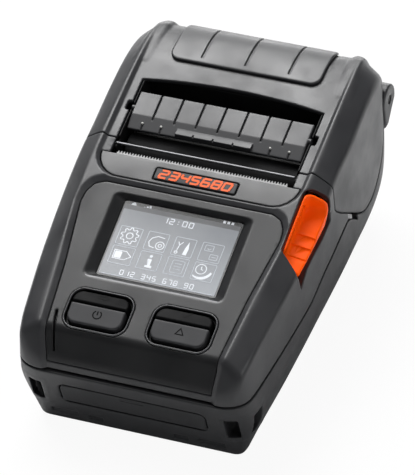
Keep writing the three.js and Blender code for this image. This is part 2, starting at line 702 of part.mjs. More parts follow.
function key(span, upper) {
  const [x0, x1] = span;
  const middle = KEY_FRAME_START + KEY_FRAME_LENGTH / 2 + KEY_SPLIT;
  const inset = KEY_FRAME_BAND + FIT;
  const half = upper
    ? box(x0, x1, middle + SEAM / 2, KEY_FRAME_END, -PANEL_THICKNESS * 3, OVERRUN)
    : box(x0, x1, KEY_FRAME_START, middle - SEAM / 2, -PANEL_THICKNESS * 3, OVERRUN);
  const low = upper ? KEY_FRAME_RISE : KEY_LOW_RISE;
  const high = KEY_HIGH_RISE;
  const outline = keyFrameOutline(span, inset);
  const crown = keyFrameOutline(span, inset + KEY_BEVEL);
  const near = upper ? middle : KEY_FRAME_START;
  const far = upper ? KEY_FRAME_END : middle;
  const slope = (s) => {
    const t = Math.min(1, Math.max(0, (s - near) / (far - near)));
    return upper ? high + (low - high) * t : low + (high - low) * t;
  };
  const cap = hull([
    ...outline.map(([x, s]) => [x, s, FLANGE_BASE]),
    ...outline.map(([x, s]) => [x, s, slope(s) - KEY_BEVEL]),
    ...crown.map(([x, s]) => [x, s, slope(s)]),
  ]).intersect(half);
  const flangeOutline = keyFrameOutline(span, KEY_FRAME_BAND - KEY_FLANGE);
  const flange = prismZ(flangeOutline, FLANGE_BASE, FLANGE_TOP).intersect(half);
  const centre = upper ? (middle + KEY_FRAME_END - inset) / 2 : (middle + KEY_FRAME_START + inset) / 2;
  const stem = cylinderZ((x0 + x1) / 2, centre, POST_RADIUS, STEM_BASE, FLANGE_TOP, 12);
  return { made: onPanel(union(cap, flange, stem)), place: [(x0 + x1) / 2, centre] };
}

function controlPieces() {
  add("control_panel", controlPanel(), PLASTIC);
  const lens = box(
    -SCREEN_WIDTH / 2, SCREEN_WIDTH / 2, SCREEN_START, SCREEN_END, -PANEL_THICKNESS, LENS_TOP - FIT,
  );
  add("screen_lens", onPanel(lens), SCREEN);
  const displayTop = -PANEL_THICKNESS - FIT;
  const display = box(
    -SCREEN_WIDTH / 2 - DISPLAY_MARGIN, SCREEN_WIDTH / 2 + DISPLAY_MARGIN,
    SCREEN_START - DISPLAY_MARGIN, SCREEN_END + DISPLAY_MARGIN, displayTop - DISPLAY_THICKNESS, displayTop,
  );
  add("lcd_module", onPanel(display), STEEL);
  const names = [["power_key", "feed_key"], ["up_key", "confirm_key"]];
  const domes = [];
  keySpan.forEach((span, side) => {
    const ring = cut(
      prismZ(keyFrameOutline(span, 0), -KEY_FRAME_SINK, KEY_FRAME_RISE),
      prismZ(keyFrameOutline(span, KEY_FRAME_BAND), -OVERRUN, OVERRUN),
    );
    add(side ? "key_frame_right" : "key_frame_left", onPanel(ring), GLOSS_BLACK);
    [false, true].forEach((upper) => {
      const { made, place } = key(span, upper);
      add(names[side][upper ? 1 : 0], made, upper ? GLOSS_BLACK : DARK_PLASTIC);
      domes.push(place);
    });
  });
  const board = box(
    -BOARD_POST - POST_RADIUS, BOARD_POST + POST_RADIUS, KEY_FRAME_START - FIT, KEY_FRAME_END + FIT,
    KEY_BOARD_TOP - BOARD_THICKNESS, KEY_BOARD_TOP,
  );
  const bumps = domes.map(([x, s]) => cylinderZ(x, s, DOME_RADIUS, KEY_BOARD_TOP - FIT, DOME_TOP, 12));
  add("keypad_board", onPanel(union(board, ...bumps)), BOARD);
}

// Latch lever in the right shoulder: outline on the surface, and its back
const onBody = ([x, y, z]) => [x * HALF, atShare(y), z * HEIGHT];
const leverFace = LEVER_SHARES.map(onBody);
const leverBack = LEVER_BACK_SHARES.map(onBody);
const leverCentre = [0, 1, 2].map((k) => leverFace.reduce((sum, p) => sum + p[k], 0) / leverFace.length);

// Points moved towards or away from the lever's centre, then along the shoulder's normal
function spread(points, grow, out) {
  return points.map((p) => {
    const away = p.map((v, k) => v - leverCentre[k]);
    const length = Math.hypot(...away);
    return p.map((v, k) => v + (away[k] / length) * grow + SHOULDER_NORMAL[k] * out);
  });
}

const LEVER_ROOM = hull([
  ...spread(leverFace, LEVER_GAP * 1.3, 0),
  ...spread(leverFace, LEVER_GAP * 1.3, OVERRUN),
  ...spread(leverBack, LEVER_GAP * 2, -WALL),
  ...spread(leverFace, LEVER_GAP * 1.3, OVERRUN).map(([x, y, z]) => [x, y + LEVER_TRAVEL, z]),
  ...spread(leverBack, LEVER_GAP * 2, -WALL).map(([x, y, z]) => [x, y + LEVER_TRAVEL, z]),
]);

function latchLever() {
  const block = hull([...leverFace, ...spread(leverFace, 0, OVERRUN), ...leverBack]).intersect(OUTER);
  const mouth = spread(leverFace, -LEVER_RIM * 1.4, 0);
  const scoop = hull([...mouth, ...spread(mouth, 0, OVERRUN), ...SCOOP_SHARES.map(onBody)]);
  const armTop = leverCentre[2] - ARM_UNDER_CENTRE;
  const arm = prismX(
    [
      [LATCH_Y - ARM_HALF, LATCH_HEIGHT], [LATCH_Y + ARM_HALF, LATCH_HEIGHT],
      [LATCH_Y + ARM_HALF, armTop + ARM_HALF], [LATCH_Y - ARM_HALF, armTop],
    ],
    ARM_PLACE, ARM_PLACE + LEVER_ARM,
  );
  const boss = cylinderX(LATCH_Y, LATCH_HEIGHT, ARM_HALF, ARM_PLACE, ARM_PLACE + LEVER_ARM);
  const bore = cylinderX(
    LATCH_Y, LATCH_HEIGHT, LATCH_SHAFT_RADIUS + FIT, ARM_PLACE - OVERRUN, ARM_PLACE + LEVER_ARM + OVERRUN,
  );
  return cut(union(cut(block, scoop), arm, boss), bore);
}

function latchShaft() {
  const rod = cylinderX(
    LATCH_Y, LATCH_HEIGHT, LATCH_SHAFT_RADIUS, -CHASSIS_HALF - SHAFT_PAST, ARM_PLACE + LEVER_ARM + FIT,
  );
  const noseY = PLATEN_Y + SHAFT_RADIUS + HOOK_GAP;
  const backY = noseY + HOOK_WIDTH;
  const top = PLATEN_HEIGHT + SHAFT_RADIUS + HOOK_WIDTH;
  const outline = [
    [LATCH_Y - HOOK_WIDTH / 2, LATCH_HEIGHT], [LATCH_Y + HOOK_WIDTH / 2, LATCH_HEIGHT],
    [LATCH_Y + HOOK_WIDTH / 2, HOOK_RISE], [backY, HOOK_RISE], [backY, top],
    [noseY, top], [noseY + HOOK_WIDTH / 3, PLATEN_HEIGHT], [noseY + HOOK_WIDTH / 3, HOOK_RISE + HOOK_WIDTH],
    [LATCH_Y - HOOK_WIDTH / 2, HOOK_RISE + HOOK_WIDTH],
  ];
  const hook = prismX(outline, HOOK_PLACE, HOOK_PLACE + HOOK_THICKNESS);
  const bossRadius = LATCH_SHAFT_RADIUS * 2;
  const boss = cylinderX(LATCH_Y, LATCH_HEIGHT, bossRadius, HOOK_PLACE, HOOK_PLACE + HOOK_THICKNESS);
  return union(rod, pair(union(hook, boss)));
}

// Housing around the control panel, tear plate and lever
const tearOutline = (shrink) => roundedRect(
  -DECK_HALF + shrink, DECK_HALF - shrink, DECK_FRONT + shrink, TEAR_Y + DECK_RADIUS, DECK_RADIUS - shrink,
);
const AHEAD_OF_TEAR = box(-ACROSS, ACROSS, FRONT, TEAR_Y, 0, OVER);

function topHousing() {
  const skin = cut(SHELL.intersect(UPPER_REGION), COVER_REGION, SEAMS);
  const shelf = plate(tearOutline(0), TEAR_SHELF, TEAR_SHELF + SHELF_THICKNESS)
    .intersect(box(-SHELF_HALF, SHELF_HALF, FRONT, TEAR_Y, 0, OVER));
  const deckFloor = plate(tearOutline(0), WALL - FIT, TEAR_SHELF + FIT)
    .intersect(box(-SHELF_HALF, SHELF_HALF, FRONT, TEAR_Y - TEAR_BAR_SEAT - FIT, 0, OVER));
  const bossRoom = union(form(WALL + FIT), form(WALL / 2).intersect(cut(UPPER_REGION, SEAMS)));
  const bosses = bossPlaces.map(([x, y]) => cut(
    cylinderZ(x, y, BOSS_RADIUS, BOSS_JOINT + FIT, HEIGHT, 16).intersect(bossRoom),
    cylinderZ(x, y, SCREW_RADIUS + FIT, 0, BOSS_JOINT + SCREW_GRIP, 12),
  ));
  const panelHole = prismZ(panelOutline(SEAM), PANEL_BASE - SEAM, OVER);
  const tearHole = cut(plate(tearOutline(0), 0, WALL + FIT), deckFloor).intersect(AHEAD_OF_TEAR);
  const flangeRoom = plate(panelOutline(FLANGE_REACH + FIT), WALL, WALL + PANEL_FLANGE + 2 * FIT)
    .intersect(box(-FLANGE_LIMIT - FIT, FLANGE_LIMIT + FIT, FRONT, REAR, PANEL_BASE, OVER));
  const blank = union(skin, shelf, deckFloor, ...bosses);
  return cut(blank, panelHole, flangeRoom, DECK_RECESS, tearHole, WINDOW, LEVER_ROOM, TAB_NOTCH);
}

function tearPieces() {
  const outline = tearOutline(FIT);
  const nameHalf = NAMEPLATE_LENGTH / 2;
  const nameRear = TEAR_Y - NAMEPLATE_MARGIN;
  const nameFront = nameRear - NAMEPLATE_DEPTH;
  const nameOutline = (grow) => [
    [-nameHalf - grow, nameFront - grow], [nameHalf + grow, nameFront - grow],
    [nameHalf + grow, nameRear + grow], [-nameHalf - grow, nameRear + grow],
  ];
  const seat = plate(nameOutline(FIT), 0, TEAR_PLATE_DEPTH - FIT);
  const sheet = plate(outline, DECK_DROP, TEAR_PLATE_DEPTH).intersect(AHEAD_OF_TEAR);
  add("tear_plate", cut(sheet, seat), PLASTIC);
  const name = plate(nameOutline(0), DECK_DROP - NAMEPLATE_RISE, TEAR_PLATE_DEPTH - 2 * FIT);
  add("nameplate", name, ORANGE);
  const half = WINDOW_HALF - ROLLER_MARGIN;
  const teeth = Math.round((2 * half) / TEAR_PITCH);
  const edge = Array.from({ length: teeth }, (_, i) => {
    const x = half - (i * 2 * half) / teeth;
    return [[x, TEAR_Y], [x - half / teeth, TEAR_Y + TEAR_TOOTH]];
  }).flat();
  const bar = plate(
    [[-half, TEAR_Y - TEAR_BAR_SEAT], [half, TEAR_Y - TEAR_BAR_SEAT], ...edge, [-half, TEAR_Y]],
    TEAR_PLATE_DEPTH + FIT, TEAR_PLATE_DEPTH + FIT + TEAR_BAR_THICKNESS,
  );
  add("tear_bar", bar, STEEL);
}

// Media cover
const bossPlaces = [[BOSS_PLACE, at(BOSS_FRONT)], [BOSS_PLACE, at(BOSS_REAR)]]
  .flatMap(([x, y]) => [[x, y], [-x, y]]);
const hingeRound = (radius, x0, x1, sides = 32) => cylinderX(HINGE_Y, HINGE_HEIGHT, radius, x0, x1, sides);
const BARREL_HALF = EAR_OUTER - EAR_WIDTH - SEAM;
const EAR_ROOM = pair(union(
  hingeRound(EAR_RADIUS + SEAM, BARREL_HALF, ACROSS),
  box(BARREL_HALF, ACROSS, HINGE_Y - EAR_RADIUS - SEAM, REAR + OVERRUN, SEAM_HEIGHT, HINGE_HEIGHT),
));
const PIN_BORE = hingeRound(HINGE_PIN_RADIUS + FIT, -ACROSS, ACROSS, 16);

const INLAY_FRONT = atShare(INLAY_START_SHARE);
const INLAY_REAR = atShare(INLAY_END_SHARE);

function inlayOutline(grow) {
  return roundedRect(
    -INLAY_HALF - grow, INLAY_HALF + grow, INLAY_FRONT - grow, INLAY_REAR + grow, INLAY_RADIUS + grow,
  );
}

function mediaCover() {
  const skin = SHELL.intersect(COVER_REGION);
  const barrel = hingeRound(BARREL_RADIUS, -BARREL_HALF, BARREL_HALF).intersect(form(FIT));
  const rearEdge = box(
    -ACROSS, ACROSS, HINGE_Y + BARREL_RADIUS / 2, REAR + OVERRUN, 0, HINGE_HEIGHT - COVER_TAIL,
  );
  const seat = cut(prismZ(inlayOutline(INLAY_GROOVE), SEAM_HEIGHT, OVER), form(INLAY_DEPTH + FIT));
  const ledge = plate(inlayOutline(INLAY_GROOVE), WALL - FIT, WALL + INLAY_DEPTH);
  const body = union(cut(union(skin, ledge.intersect(COVER_REGION)), rearEdge), barrel);
  return cut(body, SEAMS, DECK_RECESS, WINDOW, seat, EAR_ROOM, PIN_BORE);
}

function coverInlay() {
  const pad = plate(inlayOutline(0), 0, INLAY_DEPTH);
  const grooves = [-1, 0, 1].map((k) => {
    const x = k * INLAY_PITCH;
    return cut(
      box(x - GROOVE_WIDTH / 2, x + GROOVE_WIDTH / 2, INLAY_FRONT + GROOVE_WIDTH * 4, REAR, 0, OVER),
      form(GROOVE_DEPTH),
    );
  });
  return cut(pad, ...grooves);
}

// Trough behind the window: two cheeks that carry the platen, a floor and a rear wall
function coverFrame() {
  const inner = WINDOW_HALF - FIT - CHEEK;
  const low = PLATEN_HEIGHT - PLATEN_RADIUS + FRAME_RISE;
  const rearY = WINDOW_REAR + WINDOW_ARCH + FRAME_RISE;
  const outline = [
    [TEAR_Y + TIP_START, TIP_HEIGHT], [TEAR_Y + TIP_START, TIP_HEIGHT - FRAME_FLOOR],
    [PLATEN_Y - PLATEN_RADIUS, PLATEN_HEIGHT], [PLATEN_Y - FRAME_RISE, low],
    [PLATEN_Y + PLATEN_RADIUS, low], [PLATEN_Y + PLATEN_RADIUS + ROLLER_MARGIN, PLATEN_HEIGHT],
    [rearY, PLATEN_HEIGHT], [rearY, OVER], [COVER_Y, OVER], [COVER_Y, TIP_HEIGHT],
  ];
  const skin = cut(OUTER, form(DECK_DROP + FIT));
  const underWindow = cut(prismZ(windowOutline(TEAR_Y - FIT), SEAM_HEIGHT, OVER).intersect(OUTER), skin);
  const clipped = union(form(WALL + FIT), underWindow);
  const cheek = prismX(outline, inner, inner + CHEEK);
  const floor = box(-inner - FIT, inner + FIT, PLATEN_Y + PLATEN_RADIUS + ROLLER_MARGIN, rearY,
    PLATEN_HEIGHT, PLATEN_HEIGHT + FRAME_FLOOR);
  const wall = box(-inner - FIT, inner + FIT, rearY - FRAME_FLOOR, rearY, PLATEN_HEIGHT, OVER);
  const bores = union(
    cylinderX(PLATEN_Y, PLATEN_HEIGHT, SHAFT_RADIUS + FIT, -ACROSS, ACROSS),
    box(-ACROSS, ACROSS, PEELER_Y - PEELER_PIN_RADIUS - FIT, PEELER_Y + PEELER_PIN_RADIUS + FIT,
      PEELER_Z - PEELER_PIN_RADIUS - FIT, OVER),
    box(-ACROSS, ACROSS, COVER_Y - SEAM, COVER_Y, TIP_HEIGHT + FIT, OVER),
  );
  return cut(union(pair(cheek), floor, wall).intersect(clipped), bores);
}

function coverPieces() {
  add("media_cover", mediaCover(), PLASTIC);
  add("cover_inlay", coverInlay(), PLASTIC);
  add("cover_frame", coverFrame(), DARK_PLASTIC);
  const barY = TEAR_Y + PEEL_BAR_FROM_TEAR;
  const barBase = TIP_HEIGHT + FIT;
  const half = WINDOW_HALF - FIT;
  add("peel_bar", box(-half, half, barY, barY + PEEL_BAR_SIZE, barBase, barBase + PEEL_BAR_SIZE), STEEL);
  add("peeler_plate", peelerPlate(), PLASTIC);
  const pinHalf = EAR_OUTER - FIT;
  add("hinge_pin", hingeRound(HINGE_PIN_RADIUS, -pinHalf, pinHalf, 16), STEEL);
}

// Ribbed peeler: a bent plate that turns on two side pins
function peelerPlate() {
  const half = WINDOW_HALF - FIT - CHEEK - FIT;
  const outline = [
    [PEELER_Y - PEELER_FRONT, PEELER_Z - PEELER_NOSE_DROP],
    [PEELER_Y - PEELER_FRONT + PEELER_THICKNESS / 2, PEELER_Z - PEELER_NOSE_DROP - PEELER_THICKNESS],
    [PEELER_Y, PEELER_Z - PEELER_THICKNESS],
    [PEELER_Y + PEELER_REAR, PEELER_Z + PEELER_TAIL_RISE - PEELER_THICKNESS],
    [PEELER_Y + PEELER_REAR, PEELER_Z + PEELER_TAIL_RISE],
    [PEELER_Y, PEELER_Z + PEELER_PIN_RADIUS],
  ];
  const body = prismX(outline, -half, half);
  const pinEnd = WINDOW_HALF + PEELER_SINK;
  const pins = cylinderX(PEELER_Y, PEELER_Z, PEELER_PIN_RADIUS, -pinEnd, pinEnd, 16);
  const grooveStart = PEELER_Z + PEELER_PIN_RADIUS - PEELER_GROOVE_DEPTH;
  const climb = (PEELER_TAIL_RISE - PEELER_PIN_RADIUS) / PEELER_REAR;
  const grooveOutline = [
    [PEELER_Y, grooveStart],
    [PEELER_Y + PEELER_REAR + OVERRUN, grooveStart + climb * (PEELER_REAR + OVERRUN)],
    [PEELER_Y, OVER],
  ];
  const grooves = Array.from({ length: PEELER_GROOVES }, (_, i) => {
    const x = ((i + 1) / (PEELER_GROOVES + 1)) * 2 * half - half;
    return prismX(grooveOutline, x - PEELER_GROOVE_WIDTH / 2, x + PEELER_GROOVE_WIDTH / 2);
  });
  return cut(union(body, pins), ...grooves);
}

// Platen and gear train
function gear(y, z, teeth, phase, bore) {
  const radius = (MODULE * teeth) / 2;
  const tip = radius + MODULE * 0.95;
  const root = radius - MODULE * 1.25;
  const pitch = (2 * Math.PI) / teeth;
  const slack = MESH_SLACK / radius / 2;
  const outline = Array.from({ length: teeth }, (_, i) => {
    const middle = phase + i * pitch;
    return [[root, -0.34], [tip, -0.13], [tip, 0.13], [root, 0.34]].map(([r, part]) => {
      const angle = middle + part * pitch - Math.sign(part) * slack;
      return [y + r * Math.cos(angle), z + r * Math.sin(angle)];
    });
  }).flat();
  const wheel = prismX(outline, -GEAR_PLACE - GEAR_WIDTH, -GEAR_PLACE);
  return cut(wheel, cylinderX(y, z, bore + FIT, -ACROSS, 0, 16));
}

const PINION_RADIUS = (MODULE * PINION_TEETH) / 2;
const IDLER_RADIUS = (MODULE * IDLER_TEETH) / 2;
const GEAR_REACH = PINION_RADIUS + IDLER_RADIUS;
const IDLER_Y = PLATEN_Y + GEAR_REACH * Math.cos(IDLER_ANGLE);
const IDLER_Z = PLATEN_HEIGHT + GEAR_REACH * Math.sin(IDLER_ANGLE);
const MOTOR_Y = IDLER_Y + GEAR_REACH * Math.cos(MOTOR_ANGLE);
const MOTOR_Z = IDLER_Z + GEAR_REACH * Math.sin(MOTOR_ANGLE);

function driveTrain() {
  const idlerPitch = (2 * Math.PI) / IDLER_TEETH;
  const idlerPhase = IDLER_ANGLE + Math.PI + idlerPitch / 2;
  const turns = (MOTOR_ANGLE - idlerPhase) / idlerPitch;
  const behind = (turns - Math.round(turns)) * idlerPitch;
  const pinionPhase = MOTOR_ANGLE + Math.PI + behind * (IDLER_TEETH / PINION_TEETH) + Math.PI / PINION_TEETH;
  const outer = GEAR_PLACE + GEAR_WIDTH + FIT;
  const rollerHalf = WINDOW_HALF - FIT - CHEEK - ROLLER_MARGIN;
  const roller = cut(
    cylinderX(PLATEN_Y, PLATEN_HEIGHT, PLATEN_RADIUS, -rollerHalf, rollerHalf, 48),
    cylinderX(PLATEN_Y, PLATEN_HEIGHT, SHAFT_RADIUS + FIT, -ACROSS, ACROSS),
  );
  add("platen_roller", roller, RUBBER);
  add("platen_shaft", union(
    cylinderX(PLATEN_Y, PLATEN_HEIGHT, SHAFT_RADIUS, -GEAR_PLACE + FIT, GEAR_PLACE - FIT),
    cylinderX(PLATEN_Y, PLATEN_HEIGHT, SHAFT_END_RADIUS, -outer, 0, 16),
  ), STEEL);
  add("platen_gear", gear(PLATEN_Y, PLATEN_HEIGHT, PINION_TEETH, IDLER_ANGLE, SHAFT_END_RADIUS), NATURAL);
  const bushX = CHASSIS_HALF - CHASSIS_WALL - (BUSH_LENGTH - CHASSIS_WALL) / 2;
  const bush = cut(
    cylinderX(PLATEN_Y, PLATEN_HEIGHT, BUSH_RADIUS, bushX, bushX + BUSH_LENGTH),
    cylinderX(PLATEN_Y, PLATEN_HEIGHT, SHAFT_RADIUS + FIT, 0, ACROSS),
  );
  add("platen_bush_right", bush, STEEL);
  add("platen_bush_left", bush.mirror([1, 0, 0]), STEEL);
  add("idler_gear", gear(IDLER_Y, IDLER_Z, IDLER_TEETH, idlerPhase, IDLER_PIN_RADIUS), NATURAL);
  const pinEnd = -CHASSIS_HALF + CHASSIS_WALL + FIT;
  add("idler_pin", cylinderX(IDLER_Y, IDLER_Z, IDLER_PIN_RADIUS, -outer, pinEnd, 16), STEEL);
  add("motor_pinion", gear(MOTOR_Y, MOTOR_Z, PINION_TEETH, pinionPhase, MOTOR_SHAFT_RADIUS), NATURAL);
  const face = CHASSIS_HALF - CHASSIS_WALL - FIT;
  add("stepper_motor", union(
    cylinderX(MOTOR_Y, MOTOR_Z, MOTOR_RADIUS, -face, -face + MOTOR_LENGTH, 32),
    cylinderX(MOTOR_Y, MOTOR_Z, MOTOR_SHAFT_RADIUS, -outer, -face + MOTOR_LENGTH / 2, 16),
  ), STEEL);
}

// Chassis with the print head
function chassis() {
  const inner = CHASSIS_HALF - CHASSIS_WALL;
  const front = LATCH_Y - CHASSIS_REACH / 2;
  const seatTop = PLATEN_HEIGHT + BUSH_RADIUS + ROLLER_MARGIN;
  const rear = PLATEN_Y + PLATEN_RADIUS;
  const side = prismX(
    [
      [front, CHASSIS_FLOOR], [rear, CHASSIS_FLOOR], [rear, seatTop], [PLATEN_Y - PLATEN_RADIUS, seatTop],
      [PLATEN_Y - PLATEN_RADIUS - FRAME_RISE, SIDE_TOP], [front, SIDE_TOP - FRAME_RISE * 2],
    ],
    inner, CHASSIS_HALF,
  );
  const bushSeat = union(
    cylinderX(PLATEN_Y, PLATEN_HEIGHT, BUSH_RADIUS + FIT, -ACROSS, ACROSS),
    box(-ACROSS, ACROSS, PLATEN_Y - BUSH_RADIUS - FIT, PLATEN_Y + BUSH_RADIUS + FIT, PLATEN_HEIGHT, OVER),
  );
  const bulkheadY = rear - CHASSIS_WALL;
  const between = HOOK_PLACE - FIT * 2;
  const hookFoot = HOOK_RISE - FRAME_RISE;
  const bulkhead = union(
    box(-inner - FIT, inner + FIT, bulkheadY, rear, CHASSIS_FLOOR, hookFoot),
    box(-between, between, bulkheadY, rear, CHASSIS_FLOOR, BULKHEAD_TOP),
  );
  const barRear = HEAD_Y - HEAD_SPRING_LENGTH;
  const barFront = barRear - CHASSIS_WALL;
  const crossBar = union(
    box(-inner - FIT, inner + FIT, barFront, barRear, hookFoot, SIDE_TOP - FRAME_RISE),
    box(-between, between, barFront, barRear, HOOK_RISE, HEAD_TOP - FRAME_RISE * 2),
  );
  const sockets = [
    cylinderX(LATCH_Y, LATCH_HEIGHT, LATCH_SHAFT_RADIUS + FIT, -ACROSS, ACROSS),
    cylinderX(IDLER_Y, IDLER_Z, IDLER_PIN_RADIUS + FIT, -ACROSS, 0, 16),
    cylinderX(MOTOR_Y, MOTOR_Z, MOTOR_SHAFT_RADIUS + FIT, -ACROSS, 0, 16),
  ];
  return cut(union(pair(side), bulkhead, crossBar), bushSeat, ...sockets);
}

// A round wire wound along Y
const COIL_STEPS = 12;
const COIL_SIDES = 5;

function coil(x, y0, y1, z, radius, wire, turns) {
  const around = COIL_SIDES;
  const steps = turns * COIL_STEPS;
  const points = [];
  for (let i = 0; i <= steps; i++) {
    const angle = (i / COIL_STEPS) * 2 * Math.PI;
    const y = y0 + wire + ((y1 - y0 - 2 * wire) * i) / steps;
    for (let k = 0; k < around; k++) {
      const turn = (k / around) * 2 * Math.PI;
      const reach = radius + wire * Math.cos(turn);
      points.push(x + reach * Math.cos(angle), y + wire * Math.sin(turn), z + reach * Math.sin(angle));
    }
  }
  const faces = [];
  for (let i = 0; i < steps; i++) {
    for (let k = 0; k < around; k++) {
      const a = i * around + k;
      const b = i * around + ((k + 1) % around);
      faces.push(a, b, a + around, b, b + around, a + around);
    }
  }
  for (let k = 1; k + 1 < around; k++) {
    const last = steps * around;
    faces.push(0, k + 1, k, last, last + k, last + k + 1);
  }
  const geometry = new THREE.BufferGeometry();
  geometry.setAttribute("position", new THREE.Float32BufferAttribute(points, 3));
  geometry.setIndex(faces);
  return solid(geometry);
}

function printHead() {
  const half = WINDOW_HALF - HEAD_MARGIN;
  const rear = PLATEN_Y - PLATEN_RADIUS - FIT;
  add("print_head", box(-half, half, HEAD_Y + HEATSINK + FIT, rear, HEAD_BASE, HEAD_TOP), DARK_PLASTIC);
  add("head_heatsink", box(-half, half, HEAD_Y, HEAD_Y + HEATSINK, HEAD_BASE, HEAD_TOP - FRAME_RISE), STEEL);
  const springFront = HEAD_Y - HEAD_SPRING_LENGTH;
  const springZ = (HEAD_BASE + HEAD_TOP) / 2;
  [["head_spring_left", -1], ["head_spring_right", 1]].forEach(([name, side]) => {
    const x = (side * half) / 2;
    const wound = coil(
      x, springFront + FIT, HEAD_Y - FIT, springZ, HEAD_SPRING_RADIUS, HEAD_SPRING_WIRE, HEAD_SPRING_TURNS,
    );
    add(name, wound, STEEL);
  });
}

// Media guides: two plates on racks that one pinion moves together
const GUIDE_Y = atShare(GUIDE_PLACE_SHARE);
const RACK_RADIUS = (RACK_MODULE * RACK_TEETH) / 2;
const RACK_REACH = RACK_RADIUS + RACK_MODULE * 1.25 + RACK_BACK;
const GUIDE_FLOOR = baseAt(GUIDE_Y + RACK_REACH) + WALL + GUIDE_LIFT;
const RACK_TOP = GUIDE_FLOOR + RACK_HEIGHT;

function guide() {
  const inner = MEDIA_WIDTH / 2 + FIT;
  const half = GUIDE_LENGTH / 2;
  const shape = [
    [GUIDE_Y - half, GUIDE_FLOOR], [GUIDE_Y + half, GUIDE_FLOOR], [GUIDE_Y + half, GUIDE_AXIS_HEIGHT],
    [GUIDE_Y + half / 2, GUIDE_FLOOR + GUIDE_HEIGHT], [GUIDE_Y - half / 2, GUIDE_FLOOR + GUIDE_HEIGHT],
    [GUIDE_Y - half, GUIDE_AXIS_HEIGHT],
  ];
  const side = prismX(shape, inner, inner + GUIDE_THICKNESS);
  const hub = cylinderX(
    GUIDE_Y, GUIDE_AXIS_HEIGHT, GUIDE_HUB_RADIUS, inner - GUIDE_HUB_DEPTH, inner + GUIDE_THICKNESS / 2, 24,
  );
  const line = GUIDE_Y - RACK_RADIUS;
  const pitch = Math.PI * RACK_MODULE;
  const toothRoot = line - RACK_MODULE * 1.25;
  const toothTip = line + RACK_MODULE * 0.9;
  const teeth = Array.from({ length: RACK_TEETH / 2 }, (_, i) => {
    const middle = (i - 0.5) * pitch;
    const parts = [[-0.36, toothRoot], [-0.13, toothTip], [0.13, toothTip], [0.36, toothRoot]];
    return parts.map(([part, y]) => [middle + part * pitch - (Math.sign(part) * RACK_SLACK) / 2, y]);
  }).flat();
  const [[rackEnd]] = teeth;
  const back = toothRoot - RACK_BACK;
  const rack = [[rackEnd, back], [inner + FIT, back], [inner + FIT, toothRoot], ...teeth.reverse()];
  return union(side, hub, prismZ(rack, GUIDE_FLOOR, RACK_TOP));
}

function guidePieces() {
  const right = guide();
  const turned = right.translate([0, -GUIDE_Y, 0]).rotate([0, 0, 180]).translate([0, GUIDE_Y, 0]);
  add("media_guide_right", right, PLASTIC);
  add("media_guide_left", turned, PLASTIC);
  const pitch = (2 * Math.PI) / RACK_TEETH;
  const outline = Array.from({ length: RACK_TEETH }, (_, i) => {
    const middle = i * pitch + Math.PI / 2;
    const parts = [
      [RACK_RADIUS - RACK_MODULE * 1.25, -0.34], [RACK_RADIUS + RACK_MODULE * 0.9, -0.1],
      [RACK_RADIUS + RACK_MODULE * 0.9, 0.1], [RACK_RADIUS - RACK_MODULE * 1.25, 0.34],
    ];
    return parts.map(([r, part]) => {
      const angle = middle + part * pitch - (Math.sign(part) * RACK_SLACK) / RACK_RADIUS / 2;
      return [r * Math.cos(angle), GUIDE_Y + r * Math.sin(angle)];
    });
  }).flat();
  const wheel = cut(
    prismZ(outline, GUIDE_FLOOR, RACK_TOP),
    cylinderZ(0, GUIDE_Y, POST_RADIUS + FIT, 0, HEIGHT, 16),
  );
  add("guide_pinion", wheel, NATURAL);
}

// Base
const BATTERY_Y = at(BATTERY_START);
const BATTERY_END = BATTERY_Y + BATTERY_LENGTH;
const CATCH_Y = BATTERY_END + CATCH_GAP;
const BAY_HALF = BATTERY_WIDTH / 2 + BATTERY_GAP;
const BAY_TOP = BATTERY_LIFT + BATTERY_HEIGHT + BATTERY_GAP;
// Everything ahead of the bay that lies inside the port's outline
const portPlate = (grow) => {
  const half = PORT_WIDTH / 2 + grow;
  const outline = roundedRect(-half, half, PORT_BASE - grow, PORT_BASE + PORT_HEIGHT + grow, PORT_RADIUS);
  const nearFront = box(-ACROSS, ACROSS, FRONT - OVERRUN, FRONT + LEAN_REACH / 2, 0, OVER);
  return extrude(outline, 0, REAR + OVERRUN, FACING_FRONT).intersect(nearFront);
};
const portMiddle = PORT_THICKNESS / 2;
const portAxisZ = PORT_BASE + portMiddle;
const portAxisY = lean(FRONT, portAxisZ) + portMiddle;

// Finger and strap tunnel round a post in each front corner
const LOOP_REAR = FRONT + LOOP_DEPTH + LOOP_POST;
const LOOP_SLOT_TOP = LOOP_SLOT_BASE + LOOP_SLOT_HEIGHT;
const LOOP_TUNNEL = pair(union(
  box(LOOP_PLACE, LOOP_PLACE + LOOP_SLOT_WIDTH, FRONT - OVERRUN, LOOP_REAR, LOOP_SLOT_BASE, LOOP_SLOT_TOP),
  box(LOOP_PLACE, ACROSS, FRONT + LOOP_DEPTH, LOOP_REAR, LOOP_SLOT_BASE, LOOP_SLOT_TOP),
));

// Notch in the right side, below the cover's edge
const TAB_Y = atShare(TAB_START_SHARE);
const TAB_BASE = SEAM_HEIGHT + TAB_OVER_SEAM;
const TAB_NOTCH = box(HALF - WALL * 2, ACROSS, TAB_Y, TAB_Y + TAB_LENGTH, TAB_BASE, TAB_BASE + TAB_RISE);

